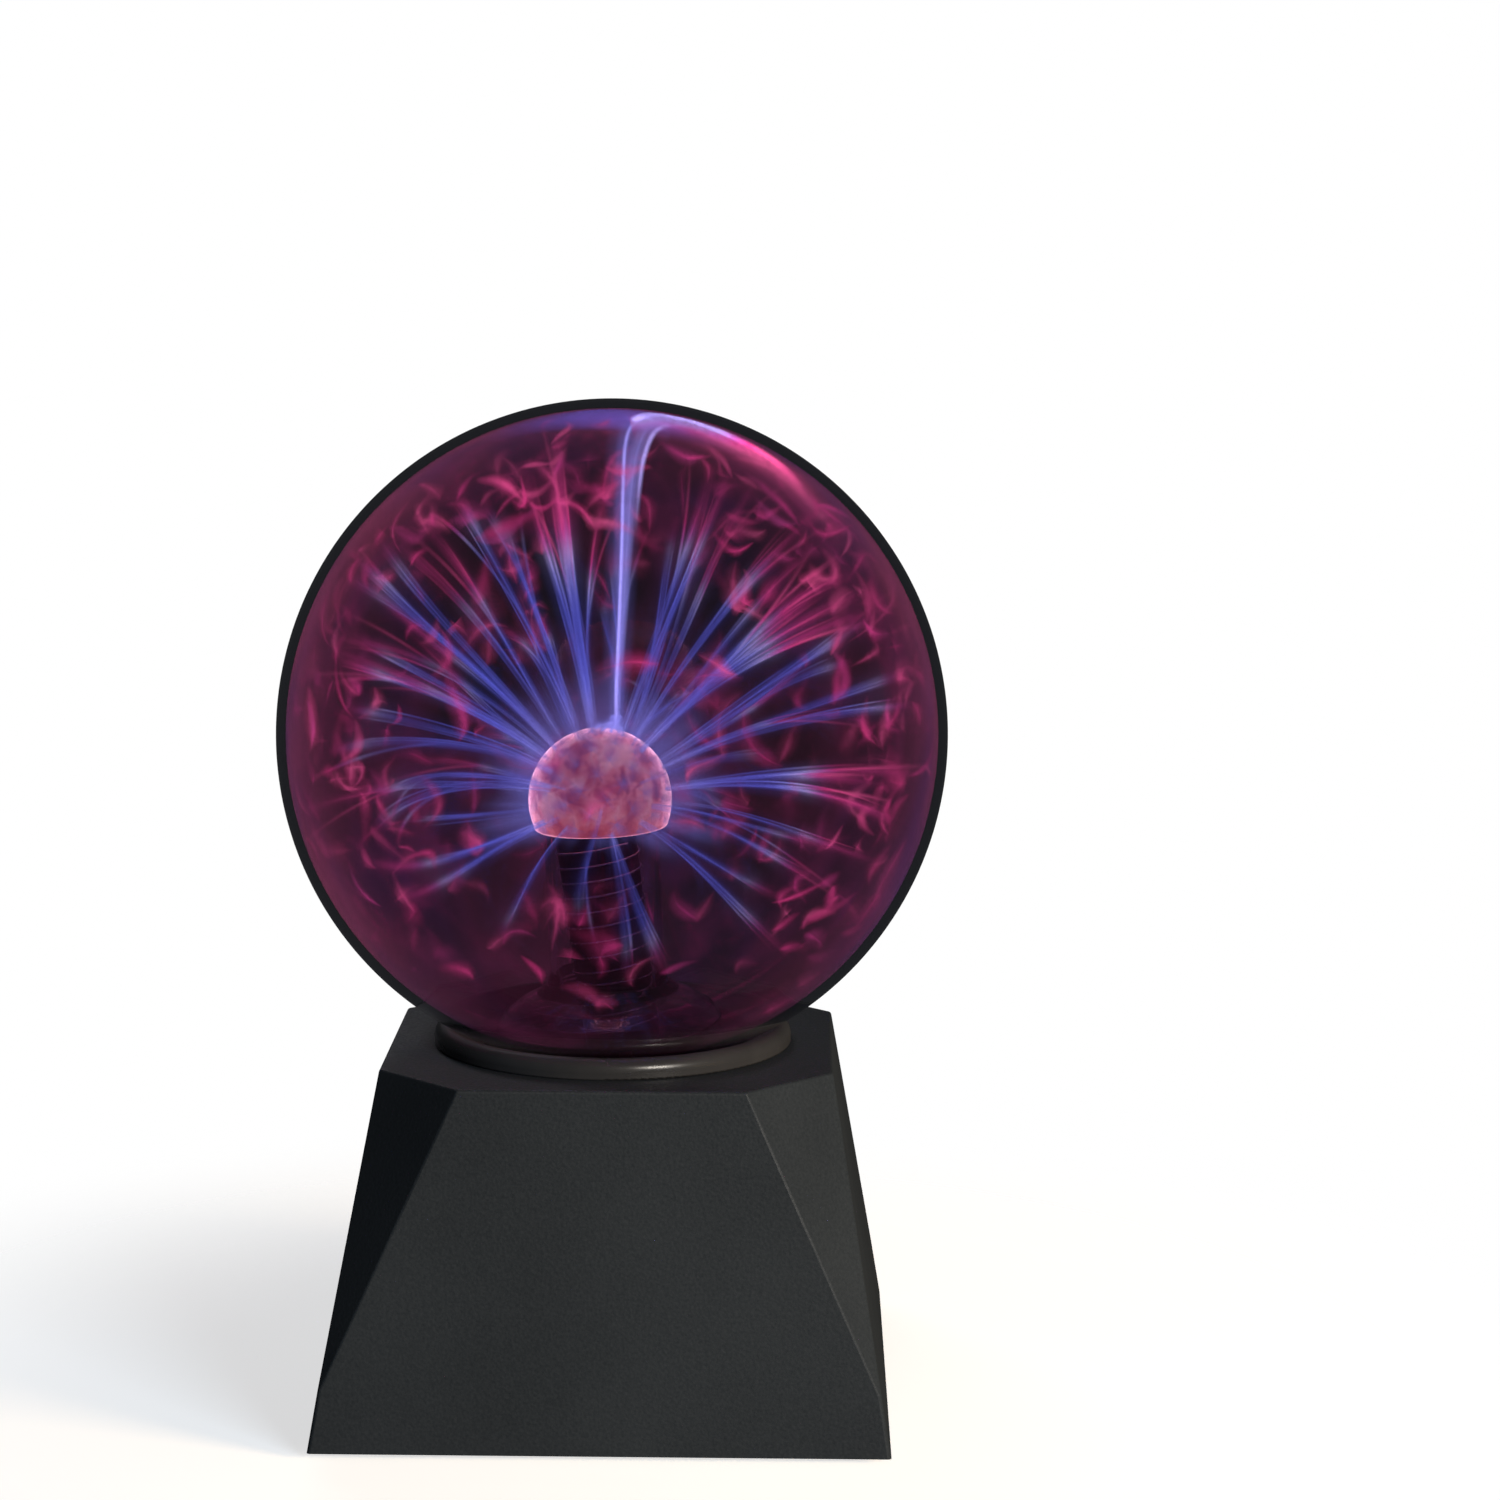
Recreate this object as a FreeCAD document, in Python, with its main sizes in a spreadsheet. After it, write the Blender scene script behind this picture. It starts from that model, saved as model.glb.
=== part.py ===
import FreeCAD, Part
import math, os, re
import Sketcher
from FreeCAD import Vector, Placement, Rotation

# Plasma globe on a faceted base.  Millimetres, +Z up, origin at the centre of
# the footprint, at the level the feet stand on.  Front is -Y, back is +Y.

doc = FreeCAD.newDocument("plasma_globe")
sheet = doc.addObject("Spreadsheet::Sheet", "dims")

CELLS = [
    # faceted base
    ("base_z", 1.5, "underside of the housing rim above the feet"),
    ("base_height", 78.2, "rim to flat top"),
    ("bottom_half", 63.6, "half width at the rim"),
    ("top_half", 50.5, "half width of the flat top"),
    ("corner_cut", 19.1, "45 degree cut at each corner of the top"),
    ("tip_height", 11.85, "point of the corner facet above the rim"),
    ("wall", 2.4, "moulded wall"),
    ("edge_radius", 0.9, "softened edges"),
    # globe
    ("globe_radius", 76.2, "6 in globe"),
    ("globe_wall", 2.0, "glass"),
    ("globe_z", 150.7, "centre of the globe"),
    ("neck_radius", 21.0, "outside of the neck"),
    ("neck_wall", 2.0, ""),
    ("neck_z", 60.0, "bottom of the neck"),
    ("rim_radius", 23.5, "rolled rim of the neck"),
    ("rim_height", 2.0, ""),
    # electrode
    ("stem_radius", 13.2, "outside of the re-entrant tube"),
    ("stem_wall", 1.3, ""),
    ("stem_lean", 2.4, "degrees, to -X going up"),
    ("pivot_z", 66.0, "where the lean starts"),
    ("skirt_z", 91.0, "flared skirt of the re-entrant tube"),
    ("stem_end_z", 131.0, "centre of the closed round end"),
    ("dome_radius", 16.35, ""),
    ("dome_wall", 1.2, ""),
    ("dome_z", 135.8, "centre of the dome"),
    ("dome_drop", 6.6, "flat underside below the dome's centre"),
    ("sleeve_low", 8.5, "sleeve radius at its foot"),
    ("sleeve_top", 9.2, "sleeve radius at its head"),
    ("sleeve_z", 78.0, ""),
    ("sleeve_x", 2.5, ""),
    ("sleeve_length", 51.4, ""),
    ("sleeve_lean", 7.48, "degrees"),
    ("spring_wire", 0.3, "radius of the contact wire"),
    ("spring_pitch", 3.5, ""),
    ("spring_start", 5.0, "first turn above the sleeve's foot"),
    ("spring_length", 43.5, ""),
    # collar and seat
    ("collar_radius", 41.0, "outside of the collar"),
    ("collar_height", 4.5, ""),
    ("collar_bore", 31.4, ""),
    ("seat_bore", 25.0, "lip that carries the gasket"),
    ("gasket_gap", 0.1, ""),
    ("boss_circle", 33.0, "screw circle of the neck retainer"),
    ("boss_radius", 3.6, ""),
    ("retainer_z", 62.2, ""),
    ("retainer_thick", 3.0, ""),
    # underside
    ("cover_z", 2.3, "underside of the cover plate"),
    ("cover_thick", 2.5, ""),
    ("cover_half", 60.2, ""),
    ("cup_top", 7.3, "top of the screw cups"),
    ("post_x", 51.0, "cover screws"),
    ("post_y", 36.0, ""),
    ("foot_x", 49.5, ""),
    ("foot_y", 50.5, ""),
    ("foot_radius", 7.0, ""),
    # board
    ("board_z", 14.0, ""),
    ("board_thick", 1.6, ""),
    ("board_half_x", 40.0, ""),
    ("board_front", -36.0, ""),
    ("board_back", 50.0, ""),
    ("stand_x", 34.0, "stand-offs"),
    ("stand_front", -31.0, ""),
    ("stand_back", 44.0, ""),
    # back panel, jack and switch
    ("panel_y", 56.0, "outer face of the sunk panel"),
    ("panel_half", 30.0, ""),
    ("panel_low", 12.0, ""),
    ("panel_high", 32.0, ""),
    ("axis_z", 22.0, "height of jack and switch"),
    ("jack_x", -16.0, ""),
    ("jack_bore", 3.1, ""),
    ("jack_pin", 1.05, "2.1 mm centre pin"),
    ("jack_nose", 4.9, ""),
    ("jack_front", 56.6, ""),
    ("switch_x", 13.0, ""),
    ("switch_travel", 3.0, "each way from the middle position"),
    ("knob_half_x", 3.0, ""),
    ("knob_half_z", 2.5, ""),
    ("knob_y", 59.4, "outer face of the slider"),
]
ALIASES = [c[0] for c in CELLS]
for row, (alias, value, note) in enumerate(CELLS, start=1):
    sheet.set("A%d" % row, alias)
    sheet.set("B%d" % row, str(value))
    sheet.setAlias("B%d" % row, alias)
    if note:
        sheet.set("C%d" % row, note)
doc.recompute()

WORD = re.compile(r"\b(" + "|".join(sorted(ALIASES, key=len, reverse=True)) + r")\b")


def ex(text):
    """Turn 'base_z + wall' into 'dims.base_z + dims.wall'."""
    return WORD.sub(r"dims.\1", str(text))


def val(text):
    """The number an expression has now, from the sheet."""
    names = {a: float(sheet.get(a)) for a in ALIASES}
    out = 0.0
    # sums and products of cells and numbers, worked out by a throw-away cell
    sheet.set("F1", "=" + str(text))
    doc.recompute([sheet])
    out = float(sheet.get("F1"))
    sheet.clear("F1")
    return out


def bind(obj, prop, text):
    obj.setExpression(prop, ex(text))


def at(obj, x="0", y="0", z="0"):
    for axis, text in (("x", x), ("y", y), ("z", z)):
        if str(text) != "0":
            bind(obj, "Placement.Base." + axis, text)
    return obj


def box(name, x, y, z, lx, ly, lz):
    """Box centred on x and y, standing on z."""
    o = doc.addObject("Part::Box", name)
    bind(o, "Length", lx)
    bind(o, "Width", ly)
    bind(o, "Height", lz)
    return at(o, "(%s) - (%s)/2" % (x, lx), "(%s) - (%s)/2" % (y, ly), z)


def cyl(name, x, y, z, r, length, along="z"):
    o = doc.addObject("Part::Cylinder", name)
    bind(o, "Radius", r)
    bind(o, "Height", length)
    if along == "y":
        o.Placement = Placement(Vector(), Rotation(Vector(1, 0, 0), -90))
    elif along == "x":
        o.Placement = Placement(Vector(), Rotation(Vector(0, 1, 0), 90))
    return at(o, x, y, z)


def cone(name, x, y, z, r1, r2, length):
    o = doc.addObject("Part::Cone", name)
    bind(o, "Radius1", r1)
    bind(o, "Radius2", r2)
    bind(o, "Height", length)
    return at(o, x, y, z)


def ball(name, x, y, z, r):
    o = doc.addObject("Part::Sphere", name)
    bind(o, "Radius", r)
    return at(o, x, y, z)


def fuse(name, *shapes):
    o = doc.addObject("Part::MultiFuse", name)
    o.Shapes = list(shapes)
    return o


def cut(name, base, *tools):
    o = doc.addObject("Part::Cut", name)
    o.Base = base
    o.Tool = tools[0] if len(tools) == 1 else fuse(name + "_tools", *tools)
    return o


def common(name, a, b):
    o = doc.addObject("Part::MultiCommon", name)
    o.Shapes = [a, b]
    return o


def group(name, *shapes):
    o = doc.addObject("Part::Compound", name)
    o.Links = list(shapes)
    return o


def plane(body, role):
    return [f for f in body.Origin.OriginFeatures if f.Role == role][0]


def sketch(body, name, role, points, offset=None, turn=None):
    """Closed profile.  A point is (x, y) in words of the sheet; a third item
    'arc' with a radius makes the next side an arc that bulges outward."""
    sk = body.newObject("Sketcher::SketchObject", name)
    sk.AttachmentSupport = [(plane(body, role), "")]
    sk.MapMode = "FlatFace"
    place = Placement()
    if turn is not None:
        place.Rotation = Rotation(Vector(0, 1, 0), turn)
    sk.AttachmentOffset = place
    if offset is not None:
        bind(sk, "AttachmentOffset.Base.z", offset)
    xy = [(val(p[0]), val(p[1])) for p in points]
    n = len(xy)
    ends = []
    for i in range(n):
        a, b = xy[i], xy[(i + 1) % n]
        if len(points[i]) > 2 and points[i][2]:
            r = abs(points[i][2])
            side = 1 if points[i][2] > 0 else -1
            mx, my = (a[0] + b[0]) / 2, (a[1] + b[1]) / 2
            dx, dy = b[0] - a[0], b[1] - a[1]
            d = math.hypot(dx, dy)
            hgt = math.sqrt(max(r * r - d * d / 4, 0.0))
            cx, cy = mx - side * dy / d * hgt, my + side * dx / d * hgt
            a0 = math.atan2(a[1] - cy, a[0] - cx)
            a1 = math.atan2(b[1] - cy, b[0] - cx)
            circle = Part.Circle(Vector(cx, cy, 0), Vector(0, 0, 1), r)
            if side > 0:
                g = sk.addGeometry(Part.ArcOfCircle(circle, a0, a1), False)
                ends.append((g, 1, 2, r))
            else:
                g = sk.addGeometry(Part.ArcOfCircle(circle, a1, a0), False)
                ends.append((g, 2, 1, r))
        else:
            g = sk.addGeometry(Part.LineSegment(Vector(a[0], a[1], 0), Vector(b[0], b[1], 0)), False)
            ends.append((g, 1, 2, None))
    for i in range(n):
        j = (i + 1) % n
        sk.addConstraint(Sketcher.Constraint("Coincident", ends[i][0], ends[i][2], ends[j][0], ends[j][1]))
    for i in range(n):
        g, start = ends[i][0], ends[i][1]
        for k, (kind, axis) in enumerate((("DistanceX", -2), ("DistanceY", -1))):
            if abs(xy[i][k]) < 1e-9:
                sk.addConstraint(Sketcher.Constraint("PointOnObject", g, start, axis))
            else:
                c = sk.addConstraint(Sketcher.Constraint(kind, -1, 1, g, start, xy[i][k]))
                bind(sk, "Constraints[%d]" % c, points[i][k])
        if ends[i][3] is not None:
            sk.addConstraint(Sketcher.Constraint("Radius", g, ends[i][3]))
    sk.Visibility = False
    return sk


def new_body(name):
    return doc.addObject("PartDesign::Body", name)


def revolve(name, points):
    """Body turned about Z from a profile in the XZ plane."""
    body = new_body(name)
    sk = sketch(body, name + "_profile", "XZ_Plane", points)
    rev = body.newObject("PartDesign::Revolution", name + "_turn")
    rev.Profile = sk
    rev.ReferenceAxis = (sk, ["V_Axis"])
    rev.Angle = 360.0
    body.Tip = rev
    return body


def pad(name, role, points, length, offset=None):
    body = new_body(name)
    sk = sketch(body, name + "_profile", role, points, offset)
    p = body.newObject("PartDesign::Pad", name + "_pad")
    p.Profile = sk
    bind(p, "Length", length)
    body.Tip = p
    return body


def rect(x0, y0, x1, y1):
    return [(x0, y0), (x1, y0), (x1, y1), (x0, y1)]


def lean(obj, degrees, x0, z0):
    """Turn a finished shape about a horizontal line through (x0, z0) along Y."""
    rot = Rotation(Vector(0, 1, 0), degrees)
    pivot = Vector(x0, 0, z0)
    obj.Placement = Placement(pivot - rot.multVec(pivot), rot).multiply(obj.Placement)
    return obj


def route(points, radii):
    """Straight runs joined by tangent arcs, as one wire."""
    pts = [Vector(*p) for p in points]
    edges, here = [], pts[0]
    for i in range(1, len(pts) - 1):
        a = (pts[i - 1] - pts[i]).normalize()
        b = (pts[i + 1] - pts[i]).normalize()
        half = math.acos(max(-1, min(1, a.dot(b)))) / 2
        t = radii[i - 1] / math.tan(half)
        p0, p1 = pts[i] + a * t, pts[i] + b * t
        mid_dir = (a + b).normalize()
        centre = pts[i] + mid_dir * (radii[i - 1] / math.sin(half))
        mid = centre - mid_dir * radii[i - 1]
        edges.append(Part.LineSegment(here, p0).toShape())
        edges.append(Part.Arc(p0, mid, p1).toShape())
        here = p1
    edges.append(Part.LineSegment(here, pts[-1]).toShape())
    return Part.Wire(edges)


def tube(points, radii, r):
    wire = route(points, radii)
    start = Vector(*points[0])
    direction = (Vector(*points[1]) - start).normalize()
    disc = Part.Wire([Part.Circle(start, direction, r).toShape()])
    shell = wire.makePipeShell([disc], True, True)
    print("route", [round(x, 1) for x in radii], "length %.1f" % wire.Length,
          "volume %.1f of %.1f" % (abs(shell.Volume), math.pi * r * r * wire.Length))
    return shell


nodes = {}


def node(name, obj):
    obj.Label = name
    nodes[name] = obj
    return obj


# ---------------------------------------------------------------- housing
SLOPE = "((bottom_half - top_half)/base_height)"
TIP_HALF = "(bottom_half - tip_height*%s)" % SLOPE
DIAG_TOP = "((top_half*2 - corner_cut)/2*1.41421356)"
DIAG_TIP = "(%s*1.41421356)" % TIP_HALF
DIAG_SLOPE = "((%s - %s)/(base_height - tip_height))" % (DIAG_TIP, DIAG_TOP)


def faceted(name, low, high, inset, corner_inset):
    """Square frustum with the four corners cut by long triangular facets.
    low and high are heights; inset moves the walls inwards."""
    half_low = "(bottom_half - ((%s) - base_z)*%s - (%s))" % (low, SLOPE, inset)
    half_high = "(bottom_half - ((%s) - base_z)*%s - (%s))" % (high, SLOPE, inset)
    body = new_body(name)
    lo = sketch(body, name + "_low", "XY_Plane",
                rect("-" + half_low, "-" + half_low, half_low, half_low), offset=low)
    hi = sketch(body, name + "_high", "XY_Plane",
                rect("-" + half_high, "-" + half_high, half_high, half_high), offset=high)
    loft = body.newObject("PartDesign::AdditiveLoft", name + "_loft")
    loft.Profile = lo
    loft.Sections = [hi]
    loft.Ruled = True
    body.Tip = loft
    doc.recompute()
    before = loft.Shape.Volume

    def diag(height):
        return "(%s - ((%s) - base_z - tip_height)*%s - (%s))" % (DIAG_TIP, height, DIAG_SLOPE, corner_inset)
    z_up = "base_z + base_height + 6"
    z_dn = "base_z + tip_height - 8"
    cutter = sketch(body, name + "_corner", "XZ_Plane",
                    [(diag(z_dn), z_dn), ("125", z_dn), ("125", z_up), (diag(z_up), z_up)], turn=45)
    pocket = body.newObject("PartDesign::Pocket", name + "_facet")
    pocket.Profile = cutter
    pocket.Length = 120.0
    if hasattr(pocket, "SideType"):
        pocket.SideType = "Symmetric"
    else:
        pocket.Midplane = True
    body.Tip = pocket
    doc.recompute()
    one = pocket.Shape.Volume
    ring = body.newObject("PartDesign::PolarPattern", name + "_facets")
    ring.Originals = [pocket]
    ring.Axis = (plane(body, "Z_Axis"), [""])
    ring.Angle = 360.0
    ring.Occurrences = 4
    body.Tip = ring
    doc.recompute()
    four = ring.Shape.Volume
    print(name, "volumes", round(before), round(one), round(four))
    assert before > one > four and abs((before - four) - 4 * (before - one)) < 0.02 * before
    return body


outer = faceted("outer_form", "base_z", "base_z + base_height", "0", "0")
inner = faceted("inner_form", "base_z - 2", "base_z + base_height - wall", "wall*1.0139", "wall*1.0927")

# soften every edge except those at the rim
soft = doc.addObject("Part::Fillet", "soft_form")
soft.Base = outer
z_rim = val("base_z")
r_edge = val("edge_radius")
pick = []
for i, e in enumerate(outer.Shape.Edges, start=1):
    if max(v.Z for v in e.Vertexes) > z_rim + 0.01:
        pick.append((i, r_edge, r_edge))
soft.Edges = pick
doc.recompute()
if soft.Shape.isNull() or not soft.Shape.isValid() or len(soft.Shape.Solids) != 1:
    print("soft edges: not all edges could be rounded together")
print("soft form volume", round(soft.Shape.Volume), "of", round(outer.Shape.Volume))

shell = cut("housing_shell", soft, inner)

# lip for the gasket, screw bosses for the neck retainer
lip = cyl("seat_lip", "0", "0", "base_z + base_height - 2*wall", "collar_bore + 3", "wall + 0.5")
inside = [lip]
for i in range(4):
    a = math.radians(45 + 90 * i)
    inside.append(cyl("neck_boss_%d" % i, "boss_circle*%.6f" % math.cos(a), "boss_circle*%.6f" % math.sin(a),
                      "retainer_z + retainer_thick", "boss_radius", "base_z + base_height - wall*0.5 - retainer_z - retainer_thick"))
# posts for the cover screws, tied to the side walls by ribs
for i, (sx, sy) in enumerate(((1, 1), (1, -1), (-1, 1), (-1, -1))):
    inside.append(cyl("post_%d" % i, "%d*post_x" % sx, "%d*post_y" % sy, "cup_top", "boss_radius", "22"))
    inside.append(box("post_rib_%d" % i, "%d*(post_x + 8)" % sx, "%d*post_y" % sy, "cup_top", "16", "2", "22"))
# block behind the sunk back panel
inside.append(box("panel_block", "0", "panel_y - wall + 10", "panel_low - wall", "2*(panel_half + wall)", "20",
                  "panel_high - panel_low + 2*wall"))
inner_features = common("inner_features", fuse("inner_raw", *inside), soft)
whole = fuse("housing_whole", shell, inner_features)

tools = [
    cyl("hole_top", "0", "0", "base_z + base_height - wall", "collar_bore + 0.1", "wall + 5"),
    cyl("hole_lip", "0", "0", "base_z + base_height - 2*wall - 1", "seat_bore", "10"),
    box("panel_sink", "0", "panel_y + 10", "panel_low", "2*panel_half", "20", "panel_high - panel_low"),
    cyl("jack_hole", "jack_x", "panel_y - 6", "axis_z", "jack_nose + 0.2", "12", "y"),
    box("switch_slot", "switch_x", "panel_y", "axis_z - knob_half_z - 0.5", "2*(knob_half_x + switch_travel + 0.5)", "12",
        "2*knob_half_z + 1"),
]
for sx in (-1, 1):
    tools.append(cyl("switch_screw_hole_%d" % (sx + 1), "switch_x + %d*14" % sx, "panel_y - 6", "axis_z", "1.05", "12", "y"))
for i in range(4):
    a = math.radians(45 + 90 * i)
    tools.append(cyl("neck_pilot_%d" % i, "boss_circle*%.6f" % math.cos(a), "boss_circle*%.6f" % math.sin(a),
                     "retainer_z", "1.5", "12"))
for i, (sx, sy) in enumerate(((1, 1), (1, -1), (-1, 1), (-1, -1))):
    tools.append(cyl("post_pilot_%d" % i, "%d*post_x" % sx, "%d*post_y" % sy, "cup_top - 1", "1.5", "14"))
# sound holes for the microphone, a short row high on the panel's left
for i in range(3):
    tools.append(cyl("sound_hole_%d" % i, "-28 + %d*2.6" % i, "panel_y - 6", "axis_z + 5", "0.6", "12", "y"))
node("base_housing", cut("base_housing", whole, *tools))

# ---------------------------------------------------------------- collar, gasket
TOP = "base_z + base_height"
node("globe_collar", revolve("globe_collar", [
    ("collar_bore", TOP),
    ("collar_radius - 0.5", TOP, 0.5),
    ("collar_radius", TOP + " + 0.5"),
    ("collar_radius", TOP + " + 1.7", 2.8),
    ("collar_radius - 2.8", TOP + " + collar_height", 2.4),
    ("collar_radius - 4.4", TOP + " + 3.85"),
    ("collar_radius - 7.2", TOP + " + 2.4"),
    ("collar_bore", TOP + " + 1.3"),
]))

node("globe_gasket", revolve("globe_gasket", [
    ("seat_bore + 1.6", TOP + " - wall"),
    ("collar_bore", TOP + " - wall"),
    ("collar_bore", TOP + " + 1.25"),
    ("seat_bore + 4.2", TOP + " + 0.36"),
    ("seat_bore + 1.6", TOP + " - 0.52"),
]))

# ---------------------------------------------------------------- globe
g_out = ball("globe_out", "0", "0", "globe_z", "globe_radius")
g_neck = cyl("globe_neck", "0", "0", "neck_z", "neck_radius", "globe_z - neck_z - 60")
g_rim = cyl("globe_rim", "0", "0", "neck_z", "rim_radius", "rim_height")
g_in = ball("globe_in", "0", "0", "globe_z", "globe_radius - globe_wall")
g_bore = cyl("globe_bore", "0", "0", "neck_z - 1", "neck_radius - neck_wall", "globe_z - neck_z - 55")
node("glass_globe", cut("glass_globe", fuse("globe_solid", g_out, g_neck, g_rim), g_in, g_bore))

# ---------------------------------------------------------------- stem and electrode
# the tube, its closed round end and the flared skirt near its foot are one piece of glass
LEAN = -val("stem_lean")
PZ = val("pivot_z")
R_OUT, R_IN = val("stem_radius"), val("stem_radius - stem_wall")
stem = revolve("electrode_stem", [
    ("stem_radius", "neck_z - 1"),
    ("stem_radius", "skirt_z"),
    ("stem_radius + 2.6", "skirt_z - 0.9"),
    ("stem_radius + 6.4", "skirt_z - 2.6"),
    ("stem_radius + 9.6", "skirt_z - 4.7"),
    ("stem_radius + 11.6", "skirt_z - 7.4"),
    ("stem_radius + 12.8", "skirt_z - 7.0"),
    ("stem_radius + 10.8", "skirt_z - 4.0"),
    ("stem_radius + 7.2", "skirt_z - 1.6"),
    ("stem_radius + 3.2", "skirt_z + 0.3"),
    ("stem_radius + 0.9", "skirt_z + 2.2"),
    ("stem_radius", "skirt_z + 5.0"),
    ("stem_radius", "stem_end_z", R_OUT),
    ("0", "stem_end_z + stem_radius"),
    ("0", "stem_end_z + stem_radius - stem_wall", -R_IN),
    ("stem_radius - stem_wall", "stem_end_z"),
    ("stem_radius - stem_wall", "neck_z - 1"),
])
doc.recompute()
lean(stem, LEAN, 0, PZ)
node("electrode_stem", stem)

seal = cyl("seal_disc", "0", "0", "neck_z - 1.6", "rim_radius", "1.6")
seal_hole = cyl("seal_hole", "0", "0", "neck_z - 3", "stem_radius + 0.45", "5")
node("neck_seal", cut("neck_seal", seal, seal_hole))

d_out = ball("dome_out", "0", "0", "dome_z", "dome_radius")
d_in = ball("dome_in", "0", "0", "dome_z", "dome_radius - dome_wall")
d_keep = cyl("dome_keep", "0", "0", "dome_z - dome_drop", "30", "60")
d_keep_in = cyl("dome_keep_in", "0", "0", "dome_z - dome_drop + dome_wall", "30", "60")
d_hole = cyl("dome_hole", "0", "0", "dome_z - dome_drop - 1", "stem_radius", "4")
dome = cut("electrode_dome", common("dome_cap", d_out, d_keep), common("dome_void", d_in, d_keep_in), d_hole)
doc.recompute()
lean(dome, LEAN, 0, PZ)
node("electrode_dome", dome)

sleeve = cone("sleeve_core", "0", "0", "0", "sleeve_low", "sleeve_top", "sleeve_length")
sleeve_bore = cyl("sleeve_bore", "0", "0", "-1", "1.6", "5")
sleeve_cut = cut("electrode_sleeve", sleeve, sleeve_bore)
doc.recompute()
SLEEVE_PLACE = Placement(Vector(val("sleeve_x"), 0, val("sleeve_z")), Rotation(Vector(0, 1, 0), -val("sleeve_lean")))
sleeve_cut.Placement = SLEEVE_PLACE
node("electrode_sleeve", sleeve_cut)

# wire wound on the sleeve, following its slight taper
taper = (val("sleeve_top") - val("sleeve_low")) / val("sleeve_length")
wire_r = val("spring_wire")
r0 = val("sleeve_low") + taper * val("spring_start") + wire_r + 0.05
# eight short runs a turn, joined by arcs almost as long as the runs, so the coil is round to 0.02 mm
PER_TURN = 8
steps = int(round(val("spring_length") / val("spring_pitch") * PER_TURN))
coil_points, coil_radii = [], []
for i in range(steps + 1):
    climb = val("spring_pitch") * i / PER_TURN
    inner = r0 + taper * climb
    turn = math.pi + 2 * math.pi * i / PER_TURN
    reach = inner / math.cos(math.pi / PER_TURN)
    coil_points.append((reach * math.cos(turn), reach * math.sin(turn), climb))
    if 0 < i < steps:
        coil_radii.append(0.95 * inner)
coil = tube(coil_points, coil_radii, wire_r)
spring = doc.addObject("Part::Feature", "contact_spring")
spring.Shape = coil
spring.Placement = SLEEVE_PLACE.multiply(Placement(Vector(0, 0, val("spring_start")), Rotation()))
node("contact_spring", spring)

# ---------------------------------------------------------------- neck retainer
ret = cyl("retainer_disc", "0", "0", "retainer_z", "boss_circle + 5.5", "retainer_thick")
ret_bore = cyl("retainer_bore", "0", "0", "retainer_z - 1", "neck_radius + 0.4", "retainer_thick + 2")
ret_gap = box("retainer_gap", "0", "0", "retainer_z - 1", "0.8", "90", "retainer_thick + 2")
ret_tools = [ret_bore, ret_gap]
for i in range(4):
    a = math.radians(45 + 90 * i)
    ret_tools.append(cyl("retainer_hole_%d" % i, "boss_circle*%.6f" % math.cos(a), "boss_circle*%.6f" % math.sin(a),
                         "retainer_z - 1", "1.7", "retainer_thick + 2"))
node("neck_retainer", cut("neck_retainer", ret, *ret_tools))


def screw(name, x, y, z, r_head, h_head, r, length, way=1):
    """Pan-head screw.  z is the seat of the head; way=1 runs up, -1 runs down."""
    if way > 0:
        shank = cyl(name + "_shank", x, y, z, r, length)
        head = cone(name + "_head", x, y, "(%s) - (%s)" % (z, h_head), "(%s)*0.72" % r_head, r_head, h_head)
        slot_z = "(%s) - (%s) - 0.1" % (z, h_head)
    else:
        shank = cyl(name + "_shank", x, y, "(%s) - (%s)" % (z, length), r, length)
        head = cone(name + "_head", x, y, z, r_head, "(%s)*0.72" % r_head, h_head)
        slot_z = "(%s) + (%s)*0.4 + 0.1" % (z, h_head)
    depth = "(%s)*0.6" % h_head
    a = box(name + "_slot_a", x, y, slot_z, "(%s)*1.1" % r_head, "(%s)*0.24" % r_head, depth)
    b = box(name + "_slot_b", x, y, slot_z, "(%s)*0.24" % r_head, "(%s)*1.1" % r_head, depth)
    return cut(name, fuse(name + "_solid", shank, head), a, b)


items = []
for i in range(4):
    a = math.radians(45 + 90 * i)
    items.append(screw("retainer_screw_%d" % i, "boss_circle*%.6f" % math.cos(a), "boss_circle*%.6f" % math.sin(a),
                       "retainer_z", "2.8", "2.0", "1.48", "9"))
node("retainer_screws", group("retainer_screws", *items))

# ---------------------------------------------------------------- bottom cover
plate = pad("cover_plate", "XY_Plane", rect("-cover_half", "-cover_half", "cover_half", "cover_half"),
            "cover_thick", offset="cover_z")
doc.recompute()
slab = plate.Tip
corner = plate.newObject("PartDesign::Fillet", "cover_corners")
corner.Base = (slab, ["Edge%d" % i for i, e in enumerate(slab.Shape.Edges, start=1)
                      if abs(e.Vertexes[0].Z - e.Vertexes[-1].Z) > 1])
corner.Radius = 1.5
plate.Tip = corner
vent = sketch(plate, "vent_profile", "XY_Plane", rect("-12", "-30", "12", "-28"), offset="cover_z + cover_thick")
slot = plate.newObject("PartDesign::Pocket", "vent_slot")
slot.Profile = vent
bind(slot, "Length", "cover_thick + 1")
plate.Tip = slot
doc.recompute()
vents = plate.newObject("PartDesign::LinearPattern", "vent_slots")
vents.Originals = [slot]
vents.Direction = (plane(plate, "Y_Axis"), [""])
vents.Length = 30.0
vents.Occurrences = 6
plate.Tip = vents
doc.recompute()
print("cover volumes", round(corner.Shape.Volume), round(slot.Shape.Volume), round(vents.Shape.Volume))
assert corner.Shape.Volume > slot.Shape.Volume > vents.Shape.Volume

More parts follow.
